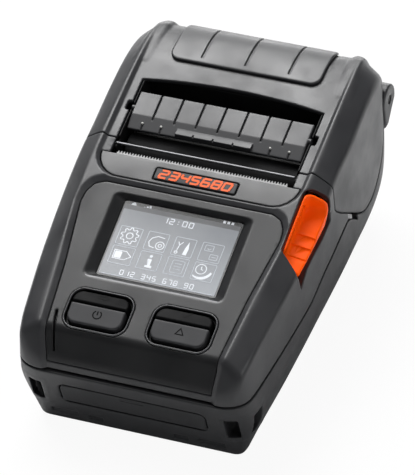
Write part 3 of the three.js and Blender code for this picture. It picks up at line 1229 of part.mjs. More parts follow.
function bottomHousing() {
  const skin = cut(SHELL, UPPER_REGION, COVER_REGION, SEAMS);
  const bayOuter = BAY_HALF + BAY_WALL;
  const bayFront = BATTERY_Y - BATTERY_GAP - BAY_WALL;
  const bayRear = BATTERY_END + BATTERY_GAP + BAY_WALL;
  const bay = box(-bayOuter, bayOuter, bayFront, bayRear, 0, BAY_TOP + BAY_WALL);
  const catchHalf = CATCH_WIDTH / 2;
  const catchRoom = CATCH_LENGTH + CATCH_TRAVEL + FIT * 2;
  const blockHalf = catchHalf + CATCH_LIP + BAY_WALL * 2;
  const blockTop = BATTERY_LIFT + CATCH_THICKNESS * 2 + BAY_WALL * 2;
  const catchBlock = box(-blockHalf, blockHalf, BATTERY_END, CATCH_Y + catchRoom + BAY_WALL, 0, blockTop);
  const corner = pair(box(
    LOOP_PLACE - BAY_WALL, HALF, FRONT, LOOP_REAR + BAY_WALL,
    LOOP_SLOT_BASE - BAY_WALL, LOOP_SLOT_TOP + BAY_WALL,
  )).intersect(OUTER);
  const bosses = bossPlaces.map(([x, y]) => cylinderZ(x, y, BOSS_RADIUS, 0, BOSS_JOINT, 16).intersect(OUTER));
  const railNear = RACK_REACH + FIT;
  const railFar = railNear + BAY_WALL;
  const rails = [
    box(-RAIL_HALF, RAIL_HALF, GUIDE_Y - railFar, GUIDE_Y - railNear, 0, RACK_TOP),
    box(-RAIL_HALF, RAIL_HALF, GUIDE_Y + railNear, GUIDE_Y + railFar, 0, RACK_TOP),
  ];
  const bedReach = RACK_RADIUS * 2;
  const bed = box(-RAIL_HALF, RAIL_HALF, GUIDE_Y - bedReach, GUIDE_Y + bedReach, 0, GUIDE_FLOOR - FIT);
  const post = cylinderZ(0, GUIDE_Y, POST_RADIUS, 0, RACK_TOP + FIT, 16);
  const ears = pair(hull([
    ...[EAR_OUTER - EAR_WIDTH, EAR_OUTER].flatMap((x) => [
      ...Array.from({ length: EAR_STEPS }, (_, i) => {
        const angle = (i / EAR_STEPS) * 2 * Math.PI;
        return [x, HINGE_Y + EAR_RADIUS * Math.cos(angle), HINGE_HEIGHT + EAR_RADIUS * Math.sin(angle)];
      }),
      [x, HINGE_Y - EAR_RADIUS, REAR_WALL_TOP - WALL],
      [x, HINGE_Y, REAR_WALL_TOP - WALL],
    ]),
  ]));
  const standoffPlaces = [at(BOARD_START) + BOSS_RADIUS, at(BOARD_START) + BOARD_LENGTH - BOSS_RADIUS];
  const standoffs = standoffPlaces.flatMap((y) => [-BOARD_POST, BOARD_POST].map((x) =>
    cylinderZ(x, y, POST_RADIUS, BAY_TOP, MAIN_BOARD_HEIGHT - FIT, 12)));
  const blank = union(skin, bay.intersect(OUTER), catchBlock.intersect(OUTER), corner, ...bosses,
    union(...rails, bed).intersect(form(WALL / 2)), post.intersect(form(WALL / 2)), ears, ...standoffs);
  const bayRoom = box(
    -BAY_HALF, BAY_HALF, BATTERY_Y - BATTERY_GAP, BATTERY_END + BATTERY_GAP, -OVERRUN, BAY_TOP,
  );
  const catchTop = BATTERY_LIFT + CATCH_THICKNESS + CATCH_LIP_THICKNESS + FIT;
  const lipHalf = catchHalf + CATCH_LIP + FIT;
  const lipBase = BATTERY_LIFT + CATCH_THICKNESS - FIT;
  const catchEnd = CATCH_Y + catchRoom;
  const catchRoomBox = union(
    box(-catchHalf - FIT, catchHalf + FIT, BATTERY_END, catchEnd, -OVERRUN, catchTop),
    box(-lipHalf, lipHalf, BATTERY_END, catchEnd, lipBase, catchTop),
  );
  const screws = bossPlaces.flatMap(([x, y]) => [
    cylinderZ(x, y, SCREW_RADIUS + FIT, 0, BOSS_JOINT + OVERRUN, 12),
    cylinderZ(x, y, SCREW_HEAD_RADIUS + FIT, -OVERRUN, SCREW_SEAT, 16),
  ]);
  const portSeat = cut(portPlate(FIT), form(PORT_THICKNESS + FIT));
  const pinEnd = PORT_WIDTH / 2 + PORT_PIN;
  const portHinge = cylinderX(portAxisY, portAxisZ, PORT_THICKNESS, -pinEnd, pinEnd, 16);
  const holeHalf = PORT_WIDTH / 2 - PORT_LIP;
  const holeTop = PORT_BASE + PORT_HEIGHT - PORT_LIP / 2;
  const portHole = box(-holeHalf, holeHalf, FRONT - OVERRUN, bayFront, PORT_BASE + PORT_LIP, holeTop);
  const port = union(portSeat, portHinge, portHole);
  return cut(blank, bayRoom, catchRoomBox, ...screws, port, LOOP_TUNNEL, TAB_NOTCH, PIN_BORE);
}

function basePieces() {
  add("bottom_housing", bottomHousing(), PLASTIC);
  const tongue = CATCH_TONGUE / 2;
  const half = CATCH_WIDTH / 2;
  const room = FIT * 2;
  const catchLipBase = BATTERY_LIFT + CATCH_THICKNESS;
  const notchFront = BATTERY_END - TONGUE_REACH - room;
  const notch = box(-tongue - room, tongue + room, notchFront, BATTERY_END + OVERRUN, 0, catchLipBase + room);
  const packHalf = BATTERY_WIDTH / 2;
  const pack = box(-packHalf, packHalf, BATTERY_Y, BATTERY_END, BATTERY_LIFT, BATTERY_LIFT + BATTERY_HEIGHT);
  add("battery_pack", cut(pack, notch), DARK_PLASTIC);
  const lipHalf = half + CATCH_LIP - FIT;
  const catchRear = CATCH_Y + CATCH_LENGTH;
  add("battery_latch", union(
    box(-half, half, CATCH_Y, catchRear, BATTERY_LIFT, catchLipBase + FIT),
    box(-lipHalf, lipHalf, CATCH_Y, catchRear, catchLipBase, catchLipBase + CATCH_LIP_THICKNESS),
    box(-tongue, tongue, BATTERY_END - TONGUE_REACH, CATCH_Y + FIT, BATTERY_LIFT, catchLipBase),
  ), DARK_PLASTIC);
  const pinEnd = PORT_WIDTH / 2 + PORT_PIN - room;
  const pins = cylinderX(portAxisY, portAxisZ, portMiddle, -pinEnd, pinEnd, 16);
  const lid = cut(portPlate(0), form(PORT_THICKNESS)).intersect(OUTER);
  const lidLow = box(-ACROSS, ACROSS, FRONT - OVERRUN, REAR, 0, portAxisZ);
  add("port_cover", union(cut(lid, lidLow), pins), RUBBER);
  const boardFront = at(BOARD_START);
  const boardTop = MAIN_BOARD_HEIGHT + BOARD_THICKNESS;
  const board = box(
    -BOARD_HALF, BOARD_HALF, boardFront, boardFront + BOARD_LENGTH, MAIN_BOARD_HEIGHT, boardTop,
  );
  add("main_board", board, BOARD);
  const socketRight = SOCKET_PLACE + SOCKET_WIDTH;
  const socketRear = at(SOCKET_START) + SOCKET_LENGTH;
  const socket = cut(
    box(SOCKET_PLACE, socketRight, at(SOCKET_START), socketRear, SOCKET_BASE, MAIN_BOARD_HEIGHT - FIT),
    box(SOCKET_PLACE + SOCKET_WALL, socketRight - SOCKET_WALL, FRONT, socketRear - SOCKET_WALL,
      SOCKET_BASE + SOCKET_WALL, SOCKET_BASE + SOCKET_HEIGHT - SOCKET_WALL),
  );
  add("usb_socket", socket, STEEL);
  bossPlaces.forEach(([x, y], i) => {
    const screw = union(
      cylinderZ(x, y, SCREW_HEAD_RADIUS, SCREW_SEAT - SCREW_HEAD - FIT, SCREW_SEAT - FIT, 16),
      cylinderZ(x, y, SCREW_RADIUS, SCREW_SEAT - SCREW_HEAD, SCREW_SEAT + SCREW_LENGTH, 12),
    );
    add("base_screw_" + (i + 1), screw, STEEL);
  });
  const tabRoom = box(HALF - WALL - FIT, HALF, TAB_Y + FIT, TAB_Y + TAB_LENGTH / 2, 0, OVER);
  add("cover_stop", TAB_NOTCH.intersect(form(FIT)).intersect(tabRoom), NATURAL);
}

add("top_housing", topHousing(), PLASTIC);
controlPieces();
tearPieces();
coverPieces();
driveTrain();
add("chassis", chassis(), STEEL);
printHead();
add("latch_lever", latchLever(), ORANGE);
add("latch_shaft", latchShaft(), STEEL);
guidePieces();
basePieces();

export default printer;
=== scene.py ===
"""Looks of a portable label printer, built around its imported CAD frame."""
import json
import math
import bpy
import bmesh
import numpy as np
from mathutils import Matrix, Vector


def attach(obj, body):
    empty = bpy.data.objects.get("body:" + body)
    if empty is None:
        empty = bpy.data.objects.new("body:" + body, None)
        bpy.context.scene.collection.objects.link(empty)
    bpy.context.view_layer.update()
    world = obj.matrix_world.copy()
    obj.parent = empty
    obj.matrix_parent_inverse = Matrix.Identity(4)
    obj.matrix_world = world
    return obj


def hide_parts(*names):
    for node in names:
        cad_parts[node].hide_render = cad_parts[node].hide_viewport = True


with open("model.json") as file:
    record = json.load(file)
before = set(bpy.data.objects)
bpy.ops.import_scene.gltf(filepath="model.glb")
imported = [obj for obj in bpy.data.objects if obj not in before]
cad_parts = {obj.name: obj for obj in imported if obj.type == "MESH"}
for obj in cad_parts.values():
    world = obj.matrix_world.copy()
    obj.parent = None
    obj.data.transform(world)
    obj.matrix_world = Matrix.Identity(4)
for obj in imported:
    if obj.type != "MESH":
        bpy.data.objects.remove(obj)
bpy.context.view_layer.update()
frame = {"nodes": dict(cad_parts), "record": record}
MM = 0.001

# Form of the body in millimetres, and curves over its length in shares of length, half width and height
LENGTH, HEIGHT = 131.0, 63.0
FRONT, REAR, HALF = -65.5, 65.5, 42.0
WALL, SEAM, COVER_GAP = 2.4, 0.8, 0.14
TOP = [[0, 0.586], [0.0466, 0.612], [0.5, 0.866], [0.571, 0.893], [0.653, 0.925], [0.744, 0.962],
       [0.821, 0.989], [0.89, 1], [0.93, 0.988], [0.956, 0.955], [0.98, 0.89], [0.994, 0.81], [1, 0.72]]
BASE = [[0, 0], [0.76, 0], [0.82, 0.015], [0.88, 0.068], [0.93, 0.15], [0.965, 0.25], [0.99, 0.38], [1, 0.5]]
RIM = [[0, 0.62], [0.02, 0.7], [0.06, 0.745], [0.2, 0.79], [0.385, 0.838], [0.571, 0.845], [0.744, 0.838],
       [0.9, 0.81], [0.96, 0.76], [1, 0.64]]
SHOULDER = [[0, 0.75], [0.008, 0.81], [0.025, 0.868], [0.04, 0.89], [0.08, 0.908], [0.12, 0.921],
            [0.2, 0.95], [0.28, 0.978], [0.36, 0.996], [0.44, 1], [0.52, 1], [0.6, 0.992], [0.7, 1],
            [0.8, 0.992], [0.88, 0.985], [0.92, 0.976], [0.95, 0.955], [0.975, 0.895], [1, 0.76]]
SHOULDER_Z = [[0, 0.415], [0.025, 0.51], [0.04, 0.547], [0.08, 0.585], [0.12, 0.602], [0.2, 0.637],
              [0.28, 0.662], [0.36, 0.693], [0.4, 0.72], [0.44, 0.744], [0.48, 0.769], [0.52, 0.793],
              [0.56, 0.815], [0.6, 0.828], [0.64, 0.841], [0.7, 0.858], [0.8, 0.9], [0.86, 0.904],
              [0.92, 0.88], [0.95, 0.835], [0.975, 0.76], [1, 0.69]]
WAIST = [[0, 0.755], [0.008, 0.825], [0.025, 0.885], [0.045, 0.911], [0.19, 0.938], [0.44, 0.974],
         [0.62, 0.986], [0.73, 0.995], [0.88, 0.99], [0.935, 0.952], [0.97, 0.88], [1, 0.74]]
BELLY = [[0, 0.785], [0.008, 0.855], [0.025, 0.912], [0.05, 0.942], [0.19, 0.96], [0.47, 0.986],
         [0.6, 0.99], [0.7, 0.984], [0.88, 0.982], [0.935, 0.935], [0.97, 0.86], [1, 0.73]]
FOOT = [[0, 0.755], [0.015, 0.79], [0.04, 0.803], [0.12, 0.803], [0.2, 0.812], [0.28, 0.821],
        [0.44, 0.826], [0.52, 0.822], [0.6, 0.81], [0.7, 0.795], [0.76, 0.79], [0.9, 0.785], [0.96, 0.73],
        [1, 0.66]]
COVER_SEAM = [[0.566, 0.67], [0.59, 0.606], [0.634, 0.523], [0.698, 0.4], [0.725, 0.356], [0.755, 0.332],
              [0.8, 0.333], [0.848, 0.4], [0.888, 0.49], [0.915, 0.59]]
SIDE_SEAM = [[0, 0.389], [0.38, 0.392], [0.47, 0.432], [0.53, 0.445], [0.63, 0.472], [0.69, 0.43]]
PANEL_SHARES = [[0.0085, 0.64], [0.04, 0.67], [0.22, 0.72], [0.38, 0.79], [0.408, 0.78], [0.432, 0.74],
                [0.444, 0.66]]
LEVER = [[0.846, 0.516, 0.871], [0.838, 0.358, 0.783], [0.982, 0.329, 0.681], [0.985, 0.333, 0.676],
         [0.996, 0.498, 0.695], [0.997, 0.533, 0.749]]
SCOOP = [[0.829, 0.505, 0.748], [0.917, 0.38, 0.681]]

# Places shared by several pieces
COVER_Y, TEAR_Y, WINDOW_REAR, DECK_FRONT = 9.1, 3.1, 32.0, -5.0
HINGE_Y, HINGE_Z, REAR_WALL_TOP = 60.5, 43.0, 37.2
HINGE_BORE, BARREL_R, EAR_R, EAR_X = 1.5, 4.6, 5.0, 34
WINDOW_HALF, WINDOW_FLOOR, DECK_HALF, DECK_STEP = 30.5, 46, 33.3, 1.0
BELLY_RISE, BELLY_SHARE = 15, 0.42
WAIST_Z, WAIST_RISE, WAIST_OVER = 24.5, 19.75, 1.2
LEAN_RUN, LEAN_FOOT = 20.5, 4
BROW_Y, BROW_Z, BROW_RUN, BROW_RISE = -59.4, 38.56, 5.31, 10.08
PANEL_Y, PANEL_Z, PANEL_LOW, TILT = -59.4, 37.556, 27.4, math.radians(15.08)
BEYOND = 72
SHARP, SOFT = 0.2, 0.3

# Search box and cell size of each carved piece
CARVED = {
    "top_shell": ((-42, -66, 15), (42, 25, 58), 0.34),
    "control_deck": ((-34, -65, 27), (34, -5, 53), 0.28),
    "tear_strip": ((-34, -6, 49), (34, 4, 56), 0.22),
    "tear_teeth": ((-29, 1, 51), (29, 5, 54.5), 0.16),
    "name_plate": ((-14, -4, 50), (14, 1.2, 55), 0.18),
    "cover_shell": ((-42, 8, 19), (42, 66, 64), 0.34),
    "cover_pad": ((-26, 40, 54), (26, 63, 64), 0.24),
    "window_trough": ((-31, 6, 42.5), (31, 36, 61), 0.3),
    "peeler_blade": ((-32, 13, 53), (32, 28, 60), 0.22),
    "peeler_glint_studs": ((-26, 15, 55), (26, 17, 57), 0.14),
    "peel_rod": ((-31, 6, 53), (31, 8, 56), 0.16),
    "lever": ((32, -22, 22), (42, 7, 56), 0.24),
    "stop_tab": ((39, 17, 26), (42, 22.5, 33), 0.14),
    "base_shell": ((-42, -66, 0), (42, 66, 49), 0.42),
    "port_flap_cover": ((-26, -66, 9), (26, -61, 19.5), 0.22),
}


def smax(a, b, k):
    """Intersection of two distances, rounded over the width k."""
    h = np.maximum(k - np.abs(a - b), 0) / k
    return np.maximum(a, b) + h * h * k * 0.25


def smin(a, b, k):
    return -smax(-a, -b, k)


def union(*parts):
    return np.minimum.reduce(parts)


def common(*parts):
    return np.maximum.reduce(parts)


GRID_STEP, GRID_MARGIN = 0.1, 8
GRID = np.arange(FRONT - GRID_MARGIN, REAR + GRID_MARGIN + 0.01, GRID_STEP)
END_BLUR, MIDDLE_BLUR, BLEND_FROM, BLEND_OVER = 0.8, 3.0, 3, 12


def curve(table, size):
    """A share table as a smooth curve over the length: softer in the middle than near the ends."""
    place, value = np.array(table, float).T
    raw = np.interp((GRID - FRONT) / LENGTH, place, value) * size

    def soft(blur):
        cells = blur / GRID_STEP
        reach = int(cells * 4 + 0.01)
        kernel = np.exp(-0.5 * (np.arange(-reach, reach + 1) / cells) ** 2)
        return np.convolve(np.pad(raw, reach, mode="edge"), kernel / kernel.sum(), "valid")

    inward = np.clip((np.minimum(GRID - FRONT, REAR - GRID) - BLEND_FROM) / BLEND_OVER, 0, 1)
    blend = inward * inward * (3 - 2 * inward)
    return soft(END_BLUR) * (1 - blend) + soft(MIDDLE_BLUR) * blend


top, base = curve(TOP, HEIGHT), curve(BASE, HEIGHT)
rim, edge, edge_z = curve(RIM, HALF), curve(SHOULDER, HALF), curve(SHOULDER_Z, HEIGHT)
waist, belly, foot = curve(WAIST, HALF), curve(BELLY, HALF), curve(FOOT, HALF)
belly_z = base + np.minimum(BELLY_RISE, (top - base) * BELLY_SHARE)
waist_z = np.minimum(np.maximum(WAIST_Z, base + WAIST_RISE), (belly_z + edge_z) / 2 + WAIST_OVER)
RING = [(rim, top), (rim + (edge - rim) * 0.42, top - (top - edge_z) * 0.3),
        (edge - (edge - rim) * 0.06, edge_z + (top - edge_z) * 0.14), (waist, waist_z), (belly, belly_z),
        (foot + 0.78, base + 1.3)]


def facet(a, b):
    """Half space through two section curves, as rows of (nx, nz, offset) scaled to a distance."""
    dx, dz = b[0] - a[0], b[1] - a[1]
    size = np.hypot(dx, dz)
    nx, nz = -dz / size, dx / size
    offset = nx * a[0] + nz * a[1]
    mx, mz = (a[0] + b[0]) / 2, (a[1] + b[1]) / 2
    ahead = np.roll(nx, -1) * mx + np.roll(nz, -1) * mz - np.roll(offset, -1)
    behind = np.roll(nx, 1) * mx + np.roll(nz, 1) * mz - np.roll(offset, 1)
    slope = (ahead - behind) / (2 * GRID_STEP)
    slope[[0, -1]] = 0
    scale = 1 / np.sqrt(1 + slope * slope)
    return [nx * scale, nz * scale, offset * scale]


def level(values, sign):
    """Half space under (or over) a height curve, in the same rows as a facet."""
    slope = np.gradient(values, GRID_STEP)
    scale = sign / np.sqrt(1 + slope * slope)
    return [np.zeros_like(values), scale, values * scale]


shoulder_x, shoulder_z = RING[2]
along_side = (waist_z - belly_z) / (shoulder_z - belly_z)
hollow = belly + (shoulder_x - belly) * along_side - waist
HALF_SPACES = [level(top, 1)] + [facet(a, b) for a, b in zip(RING, RING[1:])] + [level(base, -1), [hollow]]
ROWS = np.stack(sum(HALF_SPACES, []), 1).astype(np.float32)


def lean(y, z):
    """Undo the lean of the lower front face, so the sections can be read upright."""
    a = np.maximum(WAIST_Z - z, 0) / WAIST_Z * LEAN_FOOT / LEAN_RUN
    return np.where(y < FRONT + LEAN_RUN, (y - (FRONT + LEAN_RUN) * a) / (1 - a), y)


def body(x, y, z):
    """Distance to the outer form: negative inside. The widths of its rounded edges stand in the calls."""
    x = np.abs(x)
    y = lean(y, z)
    place = np.clip((y - GRID[0]) / GRID_STEP, 0, len(GRID) - 2)
    i = place.astype(np.int32)
    t = (place - i)[:, None].astype(np.float32)
    row = ROWS[i] * (1 - t) + ROWS[i + 1] * t
    d = [row[:, k * 3] * x + row[:, k * 3 + 1] * z - row[:, k * 3 + 2] for k in range(7)]
    waist_soft = np.clip(np.abs(row[:, 21]) * 4, 0.05, 3)
    side = np.where(row[:, 21] > 0, smin(d[3], d[4], waist_soft), smax(d[3], d[4], waist_soft))
    out = smax(smax(d[0], d[1], 0.5), d[2], 0.9)
    out = smax(smax(out, side, 1.2), d[5], 2.0)
    out = smax(out, d[6], 1.3)
    brow = (BROW_RUN * (z - BROW_Z) - BROW_RISE * (y - BROW_Y)) / math.hypot(BROW_RUN, BROW_RISE)
    out = smax(smax(out, brow, 1.4), FRONT - y, 1.8)
    return smax(out, y - REAR, 2.4)


class Flat:
    """Distance to a closed outline in a plane, read from a raster: negative inside."""

    def __init__(self, points, step=0.2, margin=14):
        p = np.array(points, float)
        self.low = p.min(0) - margin
        self.step = step
        size = np.ceil((p.max(0) + margin - self.low) / step).astype(int) + 2
        u, v = np.meshgrid(*(self.low[k] + np.arange(size[k]) * step for k in (0, 1)), indexing="ij")
        best = np.full(u.shape, np.inf)
        inside = np.zeros(u.shape, bool)
        for (ax, ay), (bx, by) in zip(p, np.roll(p, -1, 0)):
            ex, ey = bx - ax, by - ay
            t = np.clip(((u - ax) * ex + (v - ay) * ey) / max(ex * ex + ey * ey, 1e-12), 0, 1)
            best = np.minimum(best, (u - ax - ex * t) ** 2 + (v - ay - ey * t) ** 2)
            if ay != by:
                inside ^= ((ay > v) != (by > v)) & (u < ax + (v - ay) * ex / ey)
        self.grid = np.where(inside, -np.sqrt(best), np.sqrt(best)).astype(np.float32)

    def __call__(self, u, v):
        a = np.clip((u - self.low[0]) / self.step, 0, self.grid.shape[0] - 1.001)
        b = np.clip((v - self.low[1]) / self.step, 0, self.grid.shape[1] - 1.001)
        i, j = a.astype(np.int32), b.astype(np.int32)
        s, t = a - i, b - j
        near = self.grid[i, j] * (1 - s) + self.grid[i + 1, j] * s
        return near * (1 - t) + (self.grid[i, j + 1] * (1 - s) + self.grid[i + 1, j + 1] * s) * t


def rounded(points, radius, steps=6):
    """An outline with arcs in place of its corners."""
    out = []
    p = [np.array(q, float) for q in points]
    radii = radius if isinstance(radius, list) else [radius] * len(p)
    for k, r in enumerate(radii):
        prev, here, after = p[k - 1], p[k], p[(k + 1) % len(p)]
        a, b = prev - here, after - here
        la, lb = np.linalg.norm(a), np.linalg.norm(b)
        a, b = a / la, b / lb
        corner = math.acos(max(-1, min(1, float(a @ b))))
        if r <= 0 or corner > 3.1:
            out.append(here)
            continue
        back = min(r / math.tan(corner / 2), la * 0.48, lb * 0.48)
        r = back * math.tan(corner / 2)
        middle = here + (a + b) / np.linalg.norm(a + b) * r / math.sin(corner / 2)
        start, end = here + a * back - middle, here + b * back - middle
        for t in np.arange(steps + 1) / steps:
            d = start * (1 - t) + end * t
            out.append(middle + d / np.linalg.norm(d) * r)
    return out


def rect(x0, x1, y0, y1, radius, steps=6):
    return rounded([(x0, y0), (x1, y0), (x1, y1), (x0, y1)], radius, steps)


def softened(points, turns=2):
    """Chaikin's corner cutting on an open line."""
    p = np.array(points, float)
    for _ in range(turns):
        q = np.empty((2 * len(p) - 2, 2))
        q[0::2] = p[:-1] * 0.75 + p[1:] * 0.25
        q[1::2] = p[:-1] * 0.25 + p[1:] * 0.75
        p = np.concatenate([p[:1], q, p[-1:]])
    return p.tolist()


def mirror(points):
    return points + [(-x, y) for x, y in reversed(points)]


def in_size(table):
    return [(FRONT + a * LENGTH, b * HEIGHT) for a, b in table]


cover_line = [(COVER_Y, BEYOND)] + softened(in_size(COVER_SEAM)) + [(BEYOND + 2, REAR_WALL_TOP)]
IN_COVER = Flat(cover_line + [(BEYOND + 2, BEYOND)])
side_line = in_size(SIDE_SEAM)
IN_UPPER = Flat([(-BEYOND - 2, side_line[0][1])] + side_line
                + [(side_line[-1][0], BEYOND), (-BEYOND - 2, BEYOND)])
panel_points = [(b * HALF, FRONT + a * LENGTH) for a, b in PANEL_SHARES]
IN_PANEL = Flat(rounded(mirror(panel_points), [0, 3, 9, 6, 3, 3, 3, 3, 3, 3, 6, 9, 3, 0]))
IN_DECK = Flat(rect(-DECK_HALF, DECK_HALF, DECK_FRONT, 84, [8, 8, 2, 2]))
arch = [(-WINDOW_HALF * t, WINDOW_REAR + 2.4 * (1 - t * t)) for t in np.linspace(-1, 1, 25)]
IN_WINDOW = Flat([(-WINDOW_HALF, TEAR_Y), (WINDOW_HALF, TEAR_Y)] + arch)
IN_PAD = Flat(rect(-25.4, 25.4, 41.1, 61.9, 3.4))


def to_panel(y, z):
    """Place along the panel's slope and height over its surface."""
    dy, dz = y - PANEL_Y, z - PANEL_Z
    return dy * math.cos(TILT) + dz * math.sin(TILT), dz * math.cos(TILT) - dy * math.sin(TILT)


def from_panel(x, s, n):
    c, t = math.cos(TILT), math.sin(TILT)
    return (x, PANEL_Y + s * c - n * t, PANEL_Z + s * t + n * c)


def block(p, low, high, r=0.0):
    """Distance to a box, optionally with rounded edges."""
    q = [np.abs(v - (a + b) / 2) - (b - a) / 2 + r for v, a, b in zip(p, low, high)]
    outside = np.sqrt(sum(np.maximum(v, 0) ** 2 for v in q))
    return outside + np.minimum(common(*q), 0) - r


def rod(u, v, u0, v0, radius, w, w0, w1):
    return common(np.hypot(u - u0, v - v0) - radius, w0 - w, w - w1)


def hinge_rod(y, z, radius):
    return np.hypot(y - HINGE_Y, z - HINGE_Z) - radius


# Meshes from distance fields
COARSE, PROBE, PROJECTIONS = 4, 0.02, 2


def sample(field, points, chunk=400000):
    out = np.empty(len(points), np.float32)
    for k in range(0, len(points), chunk):
        p = points[k:k + chunk]
        out[k:k + chunk] = field(p[:, 0], p[:, 1], p[:, 2])
    return out


def sampled_grid(field, low, cells, step):
    """The field at the corners of all cells that may touch its surface, and which cells those are."""
    wide = step * COARSE
    centre = np.stack(np.meshgrid(*(low[k] + (np.arange(cells[k]) + 0.5) * wide for k in range(3)),
                                  indexing="ij"), -1).reshape(-1, 3).astype(np.float32)
    near = (np.abs(sample(field, centre)) < wide * 1.2 + 0.3).reshape(cells)
    active = near.repeat(COARSE, 0).repeat(COARSE, 1).repeat(COARSE, 2)
    fine = active.shape
    nodes = np.zeros([n + 1 for n in fine], bool)
    for a, b, c in np.ndindex(2, 2, 2):
        nodes[a:fine[0] + a, b:fine[1] + b, c:fine[2] + c] |= active
    value = np.full(nodes.shape, 9, np.float32)
    value[nodes] = sample(field, (low + np.argwhere(nodes) * step).astype(np.float32))
    return value, active


def cell_points(value, cell):
    """Mean of the places where the surface crosses each cell's edges."""
    total = np.zeros((len(cell), 3), np.float32)
    hits = np.zeros(len(cell), np.float32)
    at = {c: value[cell[:, 0] + c[0], cell[:, 1] + c[1], cell[:, 2] + c[2]] for c in np.ndindex(2, 2, 2)}
    for c in at:
        for axis in range(3):
            if c[axis]:
                continue
            v0, v1 = at[c], at[tuple(1 if k == axis else v for k, v in enumerate(c))]
            cross = (v0 < 0) != (v1 < 0)
            point = np.tile(np.array(c, np.float32), (len(cell), 1))
            point[:, axis] += np.where(cross, v0 / np.where(cross, v0 - v1, 1), 0)
            total += np.where(cross[:, None], point, 0)
            hits += cross
    return total / hits[:, None]


def cell_faces(inside, number):
    """A quad around each grid edge that the surface crosses, between the four cells at that edge."""
    fine = number.shape
    faces = []
    for axis in range(3):
        u, v = (axis + 1) % 3, (axis + 2) % 3
        a = inside.take(range(fine[axis]), axis)
        where = np.argwhere(a != inside.take(range(1, fine[axis] + 1), axis))
        keep = (where[:, u] > 0) & (where[:, v] > 0) & (where[:, u] < fine[u]) & (where[:, v] < fine[v])
        where = where[keep]
        quad = []
        for du, dv in ((-1, -1), (0, -1), (0, 0), (-1, 0)):
            w = where.copy()
            w[:, u] += du
            w[:, v] += dv
            quad.append(number[tuple(w.T)])
        quad = np.stack(quad, 1)
        flip = ~a[tuple(where.T)]
        quad[flip] = quad[flip][:, ::-1]
        faces.append(quad[(quad >= 0).all(1)])
    return np.concatenate(faces)


def surface(field, low, high, step):
    """Surface nets over the cells that the field's zero passes through, moved onto that zero."""
    low = np.array(low, np.float32) - step * 2.5
    cells = np.ceil((np.array(high) - low + step * 2.5) / (step * COARSE)).astype(int)
    value, active = sampled_grid(field, low, cells, step)
    inside = value < 0
    fine = active.shape
    count = np.zeros(fine, np.uint8)
    for a, b, c in np.ndindex(2, 2, 2):
        count += inside[a:fine[0] + a, b:fine[1] + b, c:fine[2] + c]
    cell = np.argwhere((count > 0) & (count < 8) & active)
    number = np.full(fine, -1, np.int32)
    number[tuple(cell.T)] = np.arange(len(cell))
    verts = low + (cell + cell_points(value, cell)) * step
    start = verts.copy()
    ways = np.array([[1, -1, -1], [-1, 1, -1], [-1, -1, 1], [1, 1, 1]], np.float32)
    for _ in range(PROJECTIONS):
        values = [sample(field, (verts + way * PROBE).astype(np.float32)) for way in ways]
        grad = sum(way[None] * val[:, None] for way, val in zip(ways, values)) / (4 * PROBE)
        move = -(sum(values) / 4)[:, None] * grad / np.maximum((grad ** 2).sum(1), 0.2)[:, None]
        verts = verts + np.clip(move, -step * 0.5, step * 0.5)
        verts = start + np.clip(verts - start, -step * 0.6, step * 0.6)
    return verts.astype(np.float64), cell_faces(inside, number)


def new_mesh(name, verts, faces, smooth=True):
    mesh = bpy.data.meshes.new(name)
    mesh.vertices.add(len(verts))
    mesh.vertices.foreach_set("co", (np.asarray(verts, np.float64) * MM).ravel())
    mesh.loops.add(faces.size)
    mesh.loops.foreach_set("vertex_index", faces.astype(np.int32).ravel())
    mesh.polygons.add(len(faces))
    mesh.polygons.foreach_set("loop_start", np.arange(0, faces.size, faces.shape[1], dtype=np.int32))
    mesh.polygons.foreach_set("use_smooth", np.full(len(faces), smooth))
    mesh.update(calc_edges=True)
    return mesh


def link(name, mesh, rides, look, replaces=(), slot=None):
    obj = bpy.data.objects.new(name, mesh)
    bpy.context.scene.collection.objects.link(obj)
    mesh.materials.clear()
    mesh.materials.append(look)
    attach(obj, rides)
    if replaces:
        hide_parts(*replaces)
    slot or replaces[0]
    return obj


def baked(obj):
    """The object's mesh with its modifiers applied."""
    bpy.context.view_layer.update()
    mesh = bpy.data.meshes.new_from_object(obj.evaluated_get(bpy.context.evaluated_depsgraph_get()))
    old = obj.data
    obj.modifiers.clear()
    obj.data = mesh
    bpy.data.meshes.remove(old)
    mesh.name = obj.name


def carve(name, field, rides, look, replaces=(), slot=None, keep=0.35, area=None):
    """A piece from its distance field, thinned to a share of its triangles."""
    low, high, step = area or CARVED[name]
    verts, faces = surface(field, low, high, step * (1))
    obj = link(name, new_mesh(name, verts, faces), rides, look, replaces, slot)
    if keep < 1:
        thin = obj.modifiers.new("thin", "DECIMATE")
        thin.ratio = keep
        thin.use_collapse_triangulate = True
        baked(obj)


# Procedural materials
DRIFT_SCALE, DRIFT_SHARE, DRIFT_RANGE = 90.0, 0.55, (0.3, 0.7)
GRAIN_DEPTH, STREAK_STRETCH = 0.00006, 20


def feed(tree, made, inputs):
    """Link the sockets among the inputs, and set the other values."""
    for key, value in inputs.items():
        if isinstance(value, bpy.types.NodeSocket):
            tree.links.new(value, made.inputs[key])
        else:
            made.inputs[key].default_value = value


def node(tree, kind, inputs, **settings):
    made = tree.nodes.new("ShaderNode" + kind)
    for key, value in settings.items():
        setattr(made, key, value)
    feed(tree, made, inputs)
    return made


def arithmetic(tree, operation, *values):
    return node(tree, "Math", dict(enumerate(values)), operation=operation).outputs[0]


